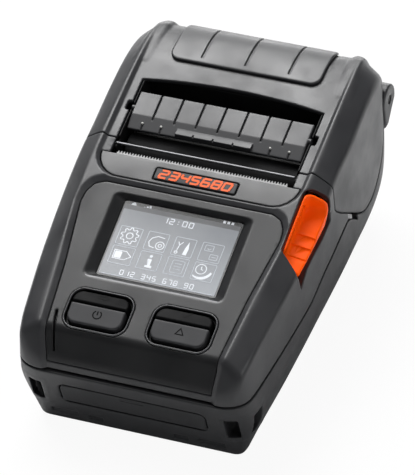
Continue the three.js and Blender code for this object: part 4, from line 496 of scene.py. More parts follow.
def material(name, colour, rough=0.5, metal=0.0, grain=2600.0, bump=0.12, tint=0.12, streak=0.0,
             coat=0.0, spec=0.5, rough_span=0.08, painted_glow=0.0):
    """A moulded or metal surface: fine grain in the bump, drifting colour and roughness."""
    mat = bpy.data.materials.new(name)
    mat.use_nodes = True
    tree = mat.node_tree
    stretch = 1 + streak * STREAK_STRETCH
    where = node(tree, "TexCoord", {}).outputs["Object"]
    place = node(tree, "Mapping", {"Vector": where, "Scale": (1, stretch, stretch)}).outputs["Vector"]
    fine = node(tree, "TexNoise", {"Vector": place, "Scale": grain, "Detail": 2.0}).outputs["Fac"]
    drift = node(tree, "TexNoise", {"Vector": place, "Scale": DRIFT_SCALE, "Detail": 3.0}).outputs["Fac"]
    slow = arithmetic(tree, "MULTIPLY", drift, DRIFT_SHARE)
    both = arithmetic(tree, "MULTIPLY_ADD", fine, 1 - DRIFT_SHARE, slow)
    dark = (*[c * (1 - tint) for c in colour], 1)
    pale = (*[min(1, c * (1 + tint)) for c in colour], 1)
    shade = node(tree, "Mix", {}, data_type="RGBA")
    feed(tree, shade, {"A": dark, "B": pale, "Factor": both})
    spread = node(tree, "MapRange", {"From Min": DRIFT_RANGE[0], "From Max": DRIFT_RANGE[1], "Value": drift,
                                     "To Min": rough - rough_span, "To Max": rough + rough_span})
    relief = node(tree, "Bump", {"Strength": bump, "Distance": GRAIN_DEPTH, "Height": fine})
    shader = tree.nodes["Principled BSDF"]
    feed(tree, shader, {"Metallic": metal, "Specular IOR Level": spec, "Coat Weight": coat,
                        "Coat Roughness": 0.1, "Base Color": shade.outputs["Result"],
                        "Roughness": spread.outputs["Result"], "Normal": relief.outputs["Normal"]})
    # Painted light: a surface given a glow shines on its own, without a lamp
    if painted_glow:
        feed(tree, shader, {"Emission Color": shade.outputs["Result"], "Emission Strength": painted_glow})
    return mat


def srgb(*values):
    shares = [c / 255 for c in values]
    return tuple(c / 12.92 if c <= 0.04045 else ((c + 0.055) / 1.055) ** 2.4 for c in shares)


SHELL = material("housing_plastic", srgb(47, 47, 49), rough=0.42, bump=0.16)
DECKP = material("deck_plastic", srgb(49, 49, 50), rough=0.4, bump=0.14)
# Painted shade: the control panel is the housing's plastic, made darker because it tilts toward the front,
# away from the light
PANEL_PAINTED_SHADE = material("panel_plastic_painted_shade", srgb(33, 33, 34), rough=0.38, bump=0.14, spec=0.32)
# Pale grey strip for the bezel's lower edge: a painted highlight
LIP_PAINTED_HIGHLIGHT = material("bezel_edge_painted_highlight", srgb(136, 136, 138), rough=0.3, bump=0.04, tint=0.1)
LOW = material("base_plastic", srgb(40, 40, 42), rough=0.46, bump=0.2)
BLACK = material("inner_plastic", srgb(11, 11, 12), rough=0.6, bump=0.12, spec=0.3)
KEY_RIM = material("key_rim", srgb(74, 74, 76), rough=0.3, bump=0.05, tint=0.08, rough_span=0.04)
# Painted shade: the upper key cap is the same plastic as the lower one, darkened because its face tilts away
# from the light
KEY_PAINTED_SHADE = material("key_dark_painted_shade", srgb(11, 11, 12), rough=0.55, bump=0.12, spec=0.08)
KEY_PALE = material("key_pale", srgb(50, 50, 52), rough=0.5, bump=0.14, spec=0.3)
# The lever's orange carries a small painted glow, so it reads brighter than its lighting makes it
ORANGE_PAINTED_GLOW = material("lever_orange_painted_glow", srgb(255, 86, 2), rough=0.45, bump=0.1, tint=0.05, spec=0.1, painted_glow=0.14)
PRINT = material("name_orange", srgb(240, 104, 52), rough=0.5, bump=0.08, tint=0.05, spec=0.2)
METAL = {"metal": 1.0, "grain": 900, "bump": 0.05, "streak": 1.0, "tint": 0.06}
ROD = material("dark_steel", (0.11, 0.11, 0.115), rough=0.42, **METAL)
PALE = material("pale_tab", srgb(150, 150, 150), rough=0.5, bump=0.1)
RUBBER = material("platen_rubber", srgb(26, 26, 27), rough=0.85, grain=3800, bump=0.3, spec=0.3)
STEEL = material("steel", (0.62, 0.62, 0.63), rough=0.3, **METAL)
NYLON = material("nylon", srgb(196, 195, 190), rough=0.5, bump=0.08, tint=0.05)
BOARD = material("circuit_board", srgb(22, 78, 48), rough=0.45, grain=700, bump=0.2, tint=0.25)
BATTERY = material("battery_plastic", srgb(34, 34, 36), rough=0.6, bump=0.25)
BORDER = material("glass_border", srgb(10, 10, 11), rough=0.14, bump=0.02, tint=0.05, rough_span=0.03,
                  coat=0.4)
GLYPH = material("screen_print", srgb(222, 226, 232), rough=0.25, bump=0.02, tint=0.03, rough_span=0.05)
GLYPH_DIM = material("screen_print_dim", srgb(176, 182, 190), rough=0.25, bump=0.02, tint=0.04,
                     rough_span=0.05)
# Dark header band of the display: partly its own dark strip, partly painted shadow of the recess's upper wall
HEADER_AND_SHADOW = material("display_header_and_painted_shadow", srgb(50, 52, 56), rough=0.2, bump=0.02, tint=0.04, rough_span=0.04)
MARK = material("key_mark", srgb(4, 4, 4), rough=0.6, bump=0.05, spec=0.1)


def screen_material():
    """Display behind glass: a grey blue sheet with painted shade, darker towards its upper left and paler
    towards its lower right corner.
    """
    mat = material("display_sheet", srgb(120, 126, 134), rough=0.16, bump=0.02, tint=0.04, coat=0.5,
                   rough_span=0.04)
    tree = mat.node_tree
    shader = tree.nodes["Principled BSDF"]
    where = node(tree, "TexCoord", {}).outputs["Object"]
    split = node(tree, "SeparateXYZ", {0: where}).outputs
    forward = arithmetic(tree, "MULTIPLY", split["Y"], -1.0)
    slant = arithmetic(tree, "MULTIPLY_ADD", split["X"], 0.45, forward)
    ramp = node(tree, "MapRange", {"From Min": 0.004, "From Max": 0.046, "Value": slant})
    painted_shade_ramp = node(tree, "ValToRGB", {"Fac": ramp.outputs["Result"]})
    shade_stops = {0.0: (96, 99, 104), 0.35: (104, 107, 112), 0.7: (110, 114, 120), 1.0: (118, 124, 132)}
    while len(painted_shade_ramp.color_ramp.elements) < len(shade_stops):
        painted_shade_ramp.color_ramp.elements.new(0.5)
    for stop, (t, colour) in zip(painted_shade_ramp.color_ramp.elements, shade_stops.items()):
        stop.position = t
        stop.color = (*srgb(*colour), 1)
    grain = shader.inputs["Base Color"].links[0].from_socket
    blend = node(tree, "Mix", {}, data_type="RGBA")
    feed(tree, blend, {"Factor": 0.12, "A": painted_shade_ramp.outputs["Color"], "B": grain})
    feed(tree, shader, {"Base Color": blend.outputs["Result"]})
    return mat


SHEET = screen_material()


# Latch lever's outline, in a frame that lies along the shoulder
LEVER_POINTS = np.array([(a * HALF, FRONT + b * LENGTH, c * HEIGHT) for a, b, c in LEVER])
SCOOP_POINTS = np.array([(a * HALF, FRONT + b * LENGTH, c * HEIGHT) for a, b, c in SCOOP])
OUT = np.array([0.79, -0.153, 0.593])
OUT = OUT / np.linalg.norm(OUT)
RUN = LEVER_POINTS[0] - LEVER_POINTS[1]
RUN = RUN - OUT * (RUN @ OUT)
RUN = RUN / np.linalg.norm(RUN)
SIDE = np.cross(RUN, OUT)
SIDE = SIDE if SIDE[2] < 0 else -SIDE
MIDDLE = LEVER_POINTS.mean(0)


def lever_frame(x, y, z):
    """Place along the lever, across it and out of the shoulder."""
    d = (x - MIDDLE[0], y - MIDDLE[1], z - MIDDLE[2])
    return tuple(sum(a * b for a, b in zip(d, axis)) for axis in (RUN, SIDE, OUT))


LEVER_FLAT = [tuple(float(v) for v in lever_frame(*p)) for p in LEVER_POINTS]
IN_LEVER = Flat(rounded([q[:2] for q in LEVER_FLAT], [3.0, 1.6, 1.0, 1.0, 2.0, 3.0]), 0.15, 10)
WEDGE = Flat([(-22.6, 43.4), (-21.3, 36), (-15.9, 39.9), (-10.6, 40.5), (-2.8, 40.5), (4.6, 41.7),
              (5.1, 44.7), (0, 46), (-19, 44)], 0.15, 10)
LEVER_WALL, ROOM_WALL, UNDERCUT, ROOM_DEPTH = 35.3, 34.7, 1.6, 7
LEVER_GAP, LEVER_BACK, WEDGE_FROM = 0.6, 1.2, 33


def left_limit(f, wall, depth):
    """Left side of the lever and its room: upright near the surface, further in below the ridge."""
    return wall - UNDERCUT * np.clip((-f - depth) / 0.8, 0, 1)


def lever_room(x, y, z, f):
    u, v, _ = lever_frame(x, y, z)
    room = smin(IN_LEVER(u, v) - LEVER_GAP, IN_LEVER(u - LEVER_BACK, v) - 0.5, 0.3)
    room = np.maximum(room, left_limit(f, ROOM_WALL, 2.6) - x)
    wedge = np.maximum(WEDGE(y, z), WEDGE_FROM - x)
    return np.maximum(smin(room, wedge, 0.4), -(f + ROOM_DEPTH))


# Front upper housing, with the recess of the tear plate and the window's front edge
TEAR_SEAT, SHELF_MIDDLE, SHELF_THICK, SHELF_HALF = 3.2, 4.1, 0.9, 31.5
UPPER_FLOOR, SLIT_FLOOR = 30, 31
TAB_Y, TAB_ROOM, TAB_IN, TAB_DROP = 21.6, 3.6, 38.4, 2.0


def bevel_wall(f, plan, rise=0.5):
    """Recess inside a plan outline, with a sloping wall around it."""
    return (f + DECK_STEP - smax(plan, 0 * plan, 0.25) * rise) / math.hypot(1, rise)


def tab_notch(x, y, z):
    return common(IN_COVER(y, z) - TAB_DROP, np.abs(y - TAB_Y) - TAB_ROOM, TAB_IN - np.abs(x))


def slit(x, y, place, lean_y, slope, half, middle, reach):
    """A narrow cut seen from above, a little out of line with the body."""
    return np.maximum(np.abs(x - place - (y - lean_y) * slope) - half, np.abs(y - middle) - reach)


def top_shell(x, y, z):
    f = body(x, y, z)
    plan, deck = IN_PANEL(x, y), IN_DECK(x, y)
    solid = smax(f, -(f + WALL), SOFT)
    solid = smax(solid, bevel_wall(f, plan), SHARP)
    solid = smax(solid, bevel_wall(f, deck, 0.8), SHARP)
    solid = smax(solid, -np.maximum(plan - 0.12, PANEL_LOW - 0.05 - z), 0.12)
    solid = smax(solid, -common(deck, y - TEAR_Y, -(f + TEAR_SEAT), UPPER_FLOOR - z), 0.25)
    shelf = common(deck + 0.3, np.abs(f + SHELF_MIDDLE) - SHELF_THICK, y - TEAR_Y, np.abs(x) - SHELF_HALF)
    solid = smin(solid, np.maximum(shelf, UPPER_FLOOR - z), SHARP)
    solid = smax(solid, -np.maximum(IN_WINDOW(x, y), WINDOW_FLOOR - z), 0.25)
    solid = smax(solid, IN_UPPER(y, z) + SEAM / 2, 0.25)
    solid = smax(solid, COVER_GAP - IN_COVER(y, z), SOFT)
    cut = common(slit(x, y, -26.6, -53, -0.16, 0.42, -57.0, 4.2), SLIT_FLOOR - z, -(f + 2.0))
    solid = smax(solid, -cut, SOFT)
    solid = smax(solid, -lever_room(x, y, z, f), 0.35)
    return smax(solid, -tab_notch(x, y, z), SHARP)


carve("top_shell", top_shell, "printer", SHELL, ("top_housing",))

# Control panel with the screen's bezel and the key openings
PANEL_THICK, SCREEN_DEPTH = 2.9, 2.1
SCREEN_X, SCREEN_HALF, SCREEN_LOW, SCREEN_HIGH = -0.4, 19.8, 22.4, 49.9
BEZEL_SIDE, BEZEL_NEAR, BEZEL_FAR = 1.571, 1.1, 0.5
KEYS = [(-24.3, -3.1), (3.1, 24.3)]
KEY_S, KEY_SPLIT, KEY_ROUND = (1.4, 16.0), 9.8, 4.4
CAP_GAP, CAP_ROUND, RIM_WIDE = 1.6, 2.9, 0.5
KEY_OPENINGS = [Flat(rect(a, b, *KEY_S, KEY_ROUND, 8), 0.12, 6) for a, b in KEYS]


def sloped(distance, n, spread):
    """A wall that leans outwards from the bottom of the screen's recess."""
    return (distance - (n + SCREEN_DEPTH) * spread) / math.hypot(1, spread)


def screen_room(x, s, n):
    a = np.abs(x - SCREEN_X) - SCREEN_HALF
    near, far = SCREEN_LOW - s, s - SCREEN_HIGH
    ends = smax(sloped(near, n, BEZEL_NEAR), sloped(far, n, BEZEL_FAR), 0.8)
    slope = smax(sloped(a, n, BEZEL_SIDE), ends, 1.6)
    return np.minimum(np.maximum(slope, -SCREEN_DEPTH - n), common(a, near, far, n + 1.8))


def control_deck(x, y, z):
    f = body(x, y, z)
    s, n = to_panel(y, z)
    solid = smax(f + DECK_STEP, -(f + DECK_STEP + PANEL_THICK), SOFT)
    solid = smax(solid, np.maximum(IN_PANEL(x, y), PANEL_LOW + 0.05 - z), 0.25)
    solid = smax(solid, -screen_room(x, s, n), 0.35)
    for opening in KEY_OPENINGS:
        solid = smax(solid, 0.14 - opening(x, s), SHARP)
    cut = np.maximum(slit(x, y, -26.0, -57, -0.2, 0.35, -57.6, 4.6), -(f + 2.4))
    return smax(solid, -cut, SOFT)


carve("control_deck", control_deck, "printer", PANEL_PAINTED_SHADE, ("control_panel",))


def panel_ring(name, outline, hole, low, high, look, replaces, slot, bevel):
    """A flat ring in the panel's plane, with rounded edges."""
    outer, inner = Flat(outline, 0.1, 4), Flat(hole, 0.1, 4)

    def field(x, y, z):
        s, n = to_panel(y, z)
        d = smax(outer(x, s), np.maximum(n - high, low - n), bevel * 2)
        return smax(d, -inner(x, s), bevel * 2)

    pts = np.array([from_panel(px, ps, pn) for px, ps in outline for pn in (low, high)])
    carve(name, field, "printer", look, replaces, slot, area=(pts.min(0) - 0.2, pts.max(0) + 0.2, 0.2))


def key_height(s, upper):
    """Crown of a key cap over the panel: the lower cap climbs to the split, the upper one falls away."""
    if upper:
        t = np.clip((s - KEY_SPLIT) / (KEY_S[1] - KEY_SPLIT), 0, 1)
        return 1.75 - 1.5 * t + 0.35 * t * t
    return 1.15 + 0.45 * np.clip((s - KEY_S[0]) / (KEY_SPLIT - KEY_S[0]), 0, 1)


def inset(span, gap, radius):
    return rect(span[0] + gap, span[1] - gap, KEY_S[0] + gap, KEY_S[1] - gap, radius, 8)


def key_field(span, upper):
    flat = Flat(inset(span, CAP_GAP, CAP_ROUND), 0.1, 4)

    def field(x, y, z):
        s, n = to_panel(y, z)
        cut = KEY_SPLIT + 0.12 - s if upper else s - KEY_SPLIT + 0.12
        edge_drop = np.maximum(KEY_SPLIT + 0.9 - s, 0) * 0.7 if upper else 0
        solid = smax(smax(flat(x, s), cut, 0.4), n - key_height(s, upper) + edge_drop, 0.6)
        return np.maximum(solid, -4.0 - n)

    return field


def key_cap(name, span, upper):
    ends = (KEY_SPLIT - 0.2, KEY_S[1]) if upper else (KEY_S[0], KEY_SPLIT)
    pts = np.array([from_panel(px, ps, pn) for px in span for ps in ends for pn in (-4.2, 2)])
    # The upper cap takes the darker copy of the key plastic, which is painted shade
    carve(name + "_key_cap", key_field(span, upper), name + "_button", KEY_PAINTED_SHADE if upper else KEY_PALE,
          (name + "_key",), area=(pts.min(0), pts.max(0), 0.2))


for word, span, names in zip(("left", "right"), KEYS, (("power", "feed"), ("up", "confirm"))):
    key_frame = "key_frame_" + word
    mouth = inset(span, RIM_WIDE, KEY_ROUND - RIM_WIDE)
    cap_room = inset(span, CAP_GAP - 0.3, CAP_ROUND + 0.2)
    panel_ring("key_rim_" + word, inset(span, 0, KEY_ROUND), mouth, -0.6, 0.42, KEY_RIM, (key_frame,),
               None, 0.2)
    panel_ring("key_well_" + word, mouth, cap_room, -2.6, -1.7, BLACK, (), key_frame, 0.1)
    for upper, key_name in enumerate(names):
        key_cap(key_name, span, upper)


# Printed and raised marks
def unit(v):
    return v / np.maximum(np.linalg.norm(v, axis=1), 1e-9)[:, None]


def band_sides(points, closed, width):
    """Left and right side of a band of even width along a line."""
    p = np.array(points, float)
    steps = (np.roll(p, -1, 0) - p) if closed else (p[1:] - p[:-1])
    ahead = steps if closed else np.concatenate([steps, steps[-1:]])
    behind = np.roll(steps, 1, 0) if closed else np.concatenate([steps[:1], steps])
    tangent = unit(unit(ahead) + unit(behind))
    normal = np.stack([-tangent[:, 1], tangent[:, 0]], 1)
    grow = np.clip(1 / np.maximum((tangent * unit(ahead)).sum(1), 0.5), 1, 1.6)[:, None]
    return p + normal * grow * width / 2, p - normal * grow * width / 2


def strokes(name, lines, width, to_space, rides, look, slot, thick=0.05, lift=0.0):
    """Flat printed lines: each open or closed polyline becomes a thin raised band."""
    verts, faces = [], []
    high = lift + thick
    for points, closed in lines:
        first, count = len(verts), len(points)
        for a, b in zip(*band_sides(points, closed, width)):
            verts.extend(to_space(*q, h) for q, h in ((a, high), (b, high), (b, lift), (a, lift)))
        for i in range(count if closed else count - 1):
            here, there = first + i * 4, first + (i + 1) % count * 4
            for k in range(4):
                m = (k + 1) % 4
                faces.append((here + k, here + m, there + m, there + k))
        if not closed:
            end = first + (count - 1) * 4
            faces.append((first + 3, first + 2, first + 1, first))
            faces.append((end, end + 1, end + 2, end + 3))
    link(name, new_mesh(name, np.array(verts), np.array(faces), smooth=False), rides, look, (), slot)


def circle(cx, cy, r, steps=28, start=0.0, turn=2 * math.pi):
    """A ring, or an open arc when the turn is less than full."""
    full = turn == 2 * math.pi
    angles = [start + turn * i / steps for i in range(steps if full else steps + 1)]
    return [(cx + r * math.cos(a), cy + r * math.sin(a)) for a in angles], full


def fills(name, shapes, to_space, look, thick, lift=0.0, replaces=(), slot="screen_lens"):
    """Closed flat shapes with a little thickness."""
    bm = bmesh.new()
    for shape in shapes:
        ring, low = ([bm.verts.new(Vector(to_space(u, v, h)) * MM) for u, v in shape]
                     for h in (lift + thick, lift))
        bm.faces.new(ring)
        bm.faces.new(low[::-1])
        for i in range(len(ring)):
            j = (i + 1) % len(ring)
            bm.faces.new((ring[i], low[i], low[j], ring[j]))
    bmesh.ops.triangulate(bm, faces=[f for f in bm.faces if len(f.verts) > 4])
    bmesh.ops.recalc_face_normals(bm, faces=bm.faces)
    mesh = bpy.data.meshes.new(name)
    bm.to_mesh(mesh)
    bm.free()
    link(name, mesh, "printer", look, replaces, slot)


# Display: black glass, a paler sheet on it, and plain signs
GLASS_MARGIN, GLASS_THICK, SHEET_THICK, HEADER_S = 0.1, 0.9, 0.06, 46.9
SHEET_HALF, SHEET_S = 19.2, (23.0, 48.6)
LINE_WIDE, FRAME_WIDE, PRINT_THICK = 0.28, 0.22, 0.02
SHEET_X = (SCREEN_X - SHEET_HALF, SCREEN_X + SHEET_HALF)


def on_glass(x, s, n):
    return from_panel(x, s, n - SCREEN_DEPTH)


def on_screen(x, s, n):
    return from_panel(x, s, n - SCREEN_DEPTH + 0.08)


glass = rect(SCREEN_X - SCREEN_HALF + GLASS_MARGIN, SCREEN_X + SCREEN_HALF - GLASS_MARGIN,
             SCREEN_LOW + GLASS_MARGIN, SCREEN_HIGH - GLASS_MARGIN, 0.6)
fills("display_glass", [glass], on_glass, BORDER, GLASS_THICK, -GLASS_THICK, ("screen_lens",))
fills("display_sheet", [rect(*SHEET_X, SHEET_S[0], HEADER_S, 0.1, 2)], on_glass, SHEET, SHEET_THICK)
fills("display_band_and_painted_shadow", [rect(*SHEET_X, HEADER_S, SHEET_S[1], 0.1, 2)], on_glass, HEADER_AND_SHADOW, SHEET_THICK)

COLUMNS = [(-18.1, -10.9), (-8.8, -2.0), (0.3, 7.0), (9.2, 16.1)]
ROWS_S = [(34.3, 40.8), (27.4, 33.6)]


def gear_line(cx, cs, tip, root, teeth):
    """A gear wheel outline: blunt teeth between round gaps."""
    out = []
    for i in range(teeth * 4):
        angle = 2 * math.pi * (i + 0.5) / (teeth * 4)
        radius = tip if i % 4 in (0, 1) else root
        out.append((cx + radius * math.cos(angle), cs + radius * math.sin(angle)))
    return out, True


def loop(*points):
    return list(points), True


def trace(*points):
    return list(points), False


gear_at, roll_at, clock_at = (-14.4, 37.7), (-3.9, 36.4), (11.6, 31.3)
gear_sign = [gear_line(*gear_at, 2.9, 2.2, 9), circle(*gear_at, 1.05)]
roll_sign = [circle(*roll_at, 1.35), circle(*roll_at, 0.55, 14),
             trace((-3.1, 39.2), (-5.4, 39.5), (-7.1, 38.6), (-7.8, 37.1), (-7.2, 35.6), (-5.5, 35.3))]
tool_sign = [trace((1.7, 35.5), (2.1, 38.0), (1.5, 39.2)), trace((2.1, 38.0), (3.0, 39.3)),
             circle(1.7, 35.4, 0.45, 12)]
battery_sign = [loop((-17.2, 29.1), (-13.3, 29.1), (-11.5, 30.5), (-13.3, 32.1), (-17.2, 32.1))]
clock_sign = [circle(*clock_at, 1.7), trace((11.6, 32.3), clock_at, (12.3, 31.0))]
boxes = [(rect(*column, *row, 0.3, 3), True) for column in COLUMNS for row in ROWS_S]
box_signs = [(rect(10.3, 13.0, 38.0, 40.0, 0.2, 2), True), (rect(12.7, 15.2, 35.2, 37.0, 0.2, 2), True),
             trace((11.1, 38.9), (11.7, 38.4), (12.3, 38.9)), trace((13.3, 36.1), (14.7, 36.1))]
note_sign = [(rect(2.0, 6.0, 28.3, 32.6, 0.4, 2), True)]
note_sign += [trace((2.9, s), (5.2, s)) for s in (31.5, 30.5, 29.5)]
foot_line = trace((-18.6, 23.3), (18.0, 23.3))
crescent = circle(11.9, 31.4, 3.7, 14, -2.25, 2.0)[0] + circle(11.4, 32.2, 3.7, 14, -0.35, -1.75)[0]
i_sign = [(-6.2, 28.1), (-3.9, 28.1), (-3.9, 28.8), (-4.6, 28.9), (-4.6, 31.2), (-6.0, 31.2), (-6.0, 30.6),
          (-5.5, 30.5), (-5.5, 28.9), (-6.2, 28.8)]
brush = [(3.9, 34.9), (5.2, 34.9), (5.4, 37.2), (4.9, 39.7), (4.2, 37.2)]
charge = rect(-16.9, -14.6, 29.4, 31.8, 0.2, 2)

SEGMENTS = {"a": ((0, 2), (1, 2)), "b": ((1, 1), (1, 2)), "c": ((1, 0), (1, 1)), "d": ((0, 0), (1, 0)),
            "e": ((0, 0), (0, 1)), "f": ((0, 1), (0, 2)), "g": ((0, 1), (1, 1))}
DIGITS = ["abcdef", "bc", "abged", "abgcd", "fgbc", "afgcd", "afgedc", "abc", "abcdefg", "abcdfg"]


def digit_lines(text, x, s, wide, tall, pitch):
    out = []
    for char in text:
        if char.isdigit():
            for key in DIGITS[int(char)]:
                out.append(trace(*[(x + px * wide, s + ps * tall / 2) for px, ps in SEGMENTS[key]]))
        elif char == ":":
            for dot in (s + tall * 0.25, s + tall * 0.7):
                out.append(trace((x + wide / 2, dot - 0.15), (x + wide / 2, dot + 0.15)))
        x += pitch
    return out


bright = gear_sign + roll_sign + tool_sign + battery_sign + clock_sign
bright += digit_lines("12:00", -5.9, 44.6, 1.3, 1.8, 2.15)
bright += digit_lines("012 345 678 90", -12.9, 23.9, 1.05, 1.6, 1.78)
dim = boxes + box_signs + note_sign + [foot_line]
strokes("display_lines", bright, LINE_WIDE, on_screen, "printer", GLYPH, "screen_lens", PRINT_THICK)
strokes("display_frames", dim, FRAME_WIDE, on_screen, "printer", GLYPH_DIM, "screen_lens", PRINT_THICK)
fills("display_fills", [charge, crescent, circle(-5.2, 32.2, 0.5, 12)[0], i_sign, brush], on_screen, GLYPH,
      PRINT_THICK)
header = [rect(12.7 + k * 1.35, 13.6 + k * 1.35, 48.5, 49.5, 0.1, 2) for k in range(3)]
header += [circle(-17.0, 48.8, 0.8, 14)[0]]
header += [rect(-13.6 + k * 0.9, -13.0 + k * 0.9, 48.3, 48.7 + k * 0.35, 0.1, 2) for k in range(3)]
fills("header_marks", header, on_glass, GLYPH, 0.05)

# Painted highlight along the bezel's lower edge, a pale strip in place of light caught there, and the signs
# on the keys
LIP_HALF, LIP_WIDE, LIP_BACK = 22.2, 0.5, 2.1
lip_highlight_line = trace((SCREEN_X - LIP_HALF, SCREEN_LOW - LIP_BACK), (SCREEN_X + LIP_HALF, SCREEN_LOW - LIP_BACK))
strokes("screen_lip_painted_highlight", [lip_highlight_line], LIP_WIDE, from_panel, "printer", LIP_PAINTED_HIGHLIGHT, "control_panel", 0.1, -0.2)

LEFT_X, RIGHT_X, MARK_WIDE = -13.2, 14.0, 0.42
feed_arrow = [(-1.7, 12.7), (-1.7, 13.6), (0.1, 13.6), (0.1, 14.1), (1.7, 13.1), (0.1, 12.2), (0.1, 12.7)]
KEY_MARKS = {
    "feed": (1, [loop(*[(LEFT_X + x, s) for x, s in feed_arrow])]),
    "power": (0, [circle(LEFT_X, 6.8, 1.35, 22, 2.1, 5.2), trace((LEFT_X, 6.7), (LEFT_X, 8.0))]),
    "confirm": (1, [trace((RIGHT_X - 1.3, 13.1), (RIGHT_X - 0.4, 12.3), (RIGHT_X + 1.6, 14.2))]),
    "up": (0, [loop((RIGHT_X - 1.3, 6.0), (RIGHT_X, 8.1), (RIGHT_X + 1.3, 6.0))]),
}


def on_key(upper):
    return lambda x, s, n: from_panel(x, s, float(key_height(s, upper)) + n)


for name, (upper, lines) in KEY_MARKS.items():
    strokes(name + "_mark", lines, MARK_WIDE, on_key(upper), name + "_button", MARK, name + "_key", 0.04)

# Tear plate with its saw edge, and the nameplate with a plain number
TEAR_THICK, NAME_GAP, NAME_DEPTH = 1.1, 0.45, 0.8
IN_NAME = Flat(rect(-13.5, 13.5, -3.3, 0.5, 0.3), 0.12, 8)
TEETH, TOOTH_PITCH, SAW_DEPTH, SAW_HALF = 60, 0.95, 1.82, 0.22
TOOTH_ROOT, TOOTH_TIP = TEAR_Y + 0.6, TEAR_Y + 1.75


def tear_strip(x, y, z):
    f = body(x, y, z)
    solid = smax(f + DECK_STEP, -(f + DECK_STEP + TEAR_THICK), SHARP)
    solid = smax(solid, IN_DECK(x, y) + 0.25, SOFT)
    solid = smax(solid, y - TEAR_Y, 0.35)
    solid = smax(solid, -np.maximum(0.9 - y, f + 1.5), 0.1)
    return smax(solid, -np.maximum(IN_NAME(x, y) - NAME_GAP, -(f + 1.9)), 0.15)


def saw_outline():
    half = TEETH * TOOTH_PITCH / 2
    line = [(-half, 1.3), (half, 1.3)]
    for k in range(TEETH):
        root = half - k * TOOTH_PITCH
        line += [(root, TOOTH_ROOT), (root - TOOTH_PITCH / 2, TOOTH_TIP)]
    return line + [(-half, TOOTH_ROOT)]


IN_TEETH = Flat(saw_outline(), 0.1, 2)


def tear_teeth(x, y, z):
    return smax(np.abs(body(x, y, z) + SAW_DEPTH) - SAW_HALF, IN_TEETH(x, y), 0.1)


def name_plate(x, y, z):
    f = body(x, y, z)
    return smax(smax(f + NAME_DEPTH, -(f + NAME_DEPTH + 1), SHARP), IN_NAME(x, y), 0.25)


def on_name(x, y, n):
    return (x, y, float(np.interp(y, GRID, top)) - NAME_DEPTH + n)


carve("tear_strip", tear_strip, "printer", DECKP, ("tear_plate",))
carve("tear_teeth", tear_teeth, "printer", PALE, ("tear_bar",), keep=0.5)
carve("name_plate", name_plate, "printer", KEY_PALE, ("nameplate",))
NUMBER_MIDDLE, NUMBER_SLANT, NUMBER_WIDE = -1.4, 0.25, 0.72


def slanting(line):
    return [(x + (y - NUMBER_MIDDLE) * NUMBER_SLANT, y) for x, y in line]


upright = digit_lines("2345680", -11.7, -2.75, 2.4, 2.6, 3.5)
slanted = [(slanting(line), closed) for line, closed in upright]
strokes("name_numbers", slanted, NUMBER_WIDE, on_name, "printer", PRINT, "nameplate", 0.1)

# Cover with its window, deck, rear pad, hinge barrel and the low fins of its rear ridges
FIN_LINE = [(40, 60), (50, 62.0), (56, 61.7), (60, 59.6), (62.8, 54.5), (62.8, 51), (60, 55), (52, 59)]
IN_FIN = Flat(rounded(FIN_LINE, [0, 6, 5, 3.5, 2, 0.5, 4, 4]), 0.15, 6)
FIN_X, FIN_Y, FIN_TAPER, FIN_HALF = 33.2, 50, 0.08, 1.6
PAD_GROOVE, PAD_DEPTH, BACK_WALL_Y, BACK_WALL_Z = 0.75, 1.05, 62.8, 41.0
EAR_ROOM, EAR_FRONT = 5.4, 55.1


def cover_shell(x, y, z):
    f = body(x, y, z)
    a = np.abs(x)
    pad = IN_PAD(x, y)
    solid = smax(f, -(f + WALL), SOFT)
    solid = smin(solid, np.maximum(np.abs(f + WALL) - 0.6, pad - 1.5), SHARP)
    solid = smax(solid, IN_COVER(y, z) + COVER_GAP, SOFT)
    solid = np.maximum(solid, -np.maximum(BACK_WALL_Y - y, z - BACK_WALL_Z))
    solid = smin(solid, common(hinge_rod(y, z, BARREL_R), a - EAR_X, f + 0.3), SOFT)
    solid = smax(solid, bevel_wall(f, IN_DECK(x, y), 0.8), SHARP)
    solid = smax(solid, -np.maximum(pad - PAD_GROOVE, -(f + PAD_DEPTH)), SHARP)
    notch = block((a, y, z), (25, 19.8, 55), (31.9, 23.2, 70), 0.5)
    solid = smax(solid, -np.maximum(smin(IN_WINDOW(x, y), notch, SHARP), WINDOW_FLOOR - z), SOFT)
    fin = smax(IN_FIN(y, z), np.abs(a - FIN_X + (y - FIN_Y) * FIN_TAPER) - FIN_HALF, 1.6)
    solid = smin(solid, fin, 2.0)
    ear = np.maximum(np.minimum(hinge_rod(y, z, EAR_ROOM), np.maximum(EAR_FRONT - y, z - HINGE_Z)), EAR_X - a)
    solid = smax(solid, -ear, SOFT)
    return np.maximum(solid, -hinge_rod(y, z, HINGE_BORE))


carve("cover_shell", cover_shell, "cover", SHELL, ("media_cover",))


def cover_pad(x, y, z):
    f = body(x, y, z)
    solid = smax(smax(f, -(f + 0.95), SHARP), IN_PAD(x, y), 0.9)
    for middle in (-14.6, 0, 14.6):
        groove = common(np.abs(x - middle) - 0.3, 43.4 - y, -(f + 0.5))
        solid = smax(solid, -groove, SHARP)
    return solid


carve("cover_pad", cover_pad, "cover", SHELL, ("cover_inlay",))

# Trough behind the window, with the platen bores and slots for the peeler's pins
PLATEN_AT, PLATEN_BORE, PEELER_AT, PIN_SLOT = (13.2, 46.46), 1.8, (21.5, 56.66), 1.2
CHEEK_X, TROUGH_HALF, TROUGH_LOW, TROUGH_REAR = (29.7, 30.2), 30, 46.6, (34.4, 35.6)
IN_CHEEK = Flat([(6.3, 53.6), (6.3, 52.1), (8, 46.5), (11.8, 42.9), (18.3, 42.9), (18.9, TROUGH_LOW),
                 (35.7, TROUGH_LOW), (35.7, BEYOND), (9.7, BEYOND), (9.7, 53.6)], 0.12, 6)


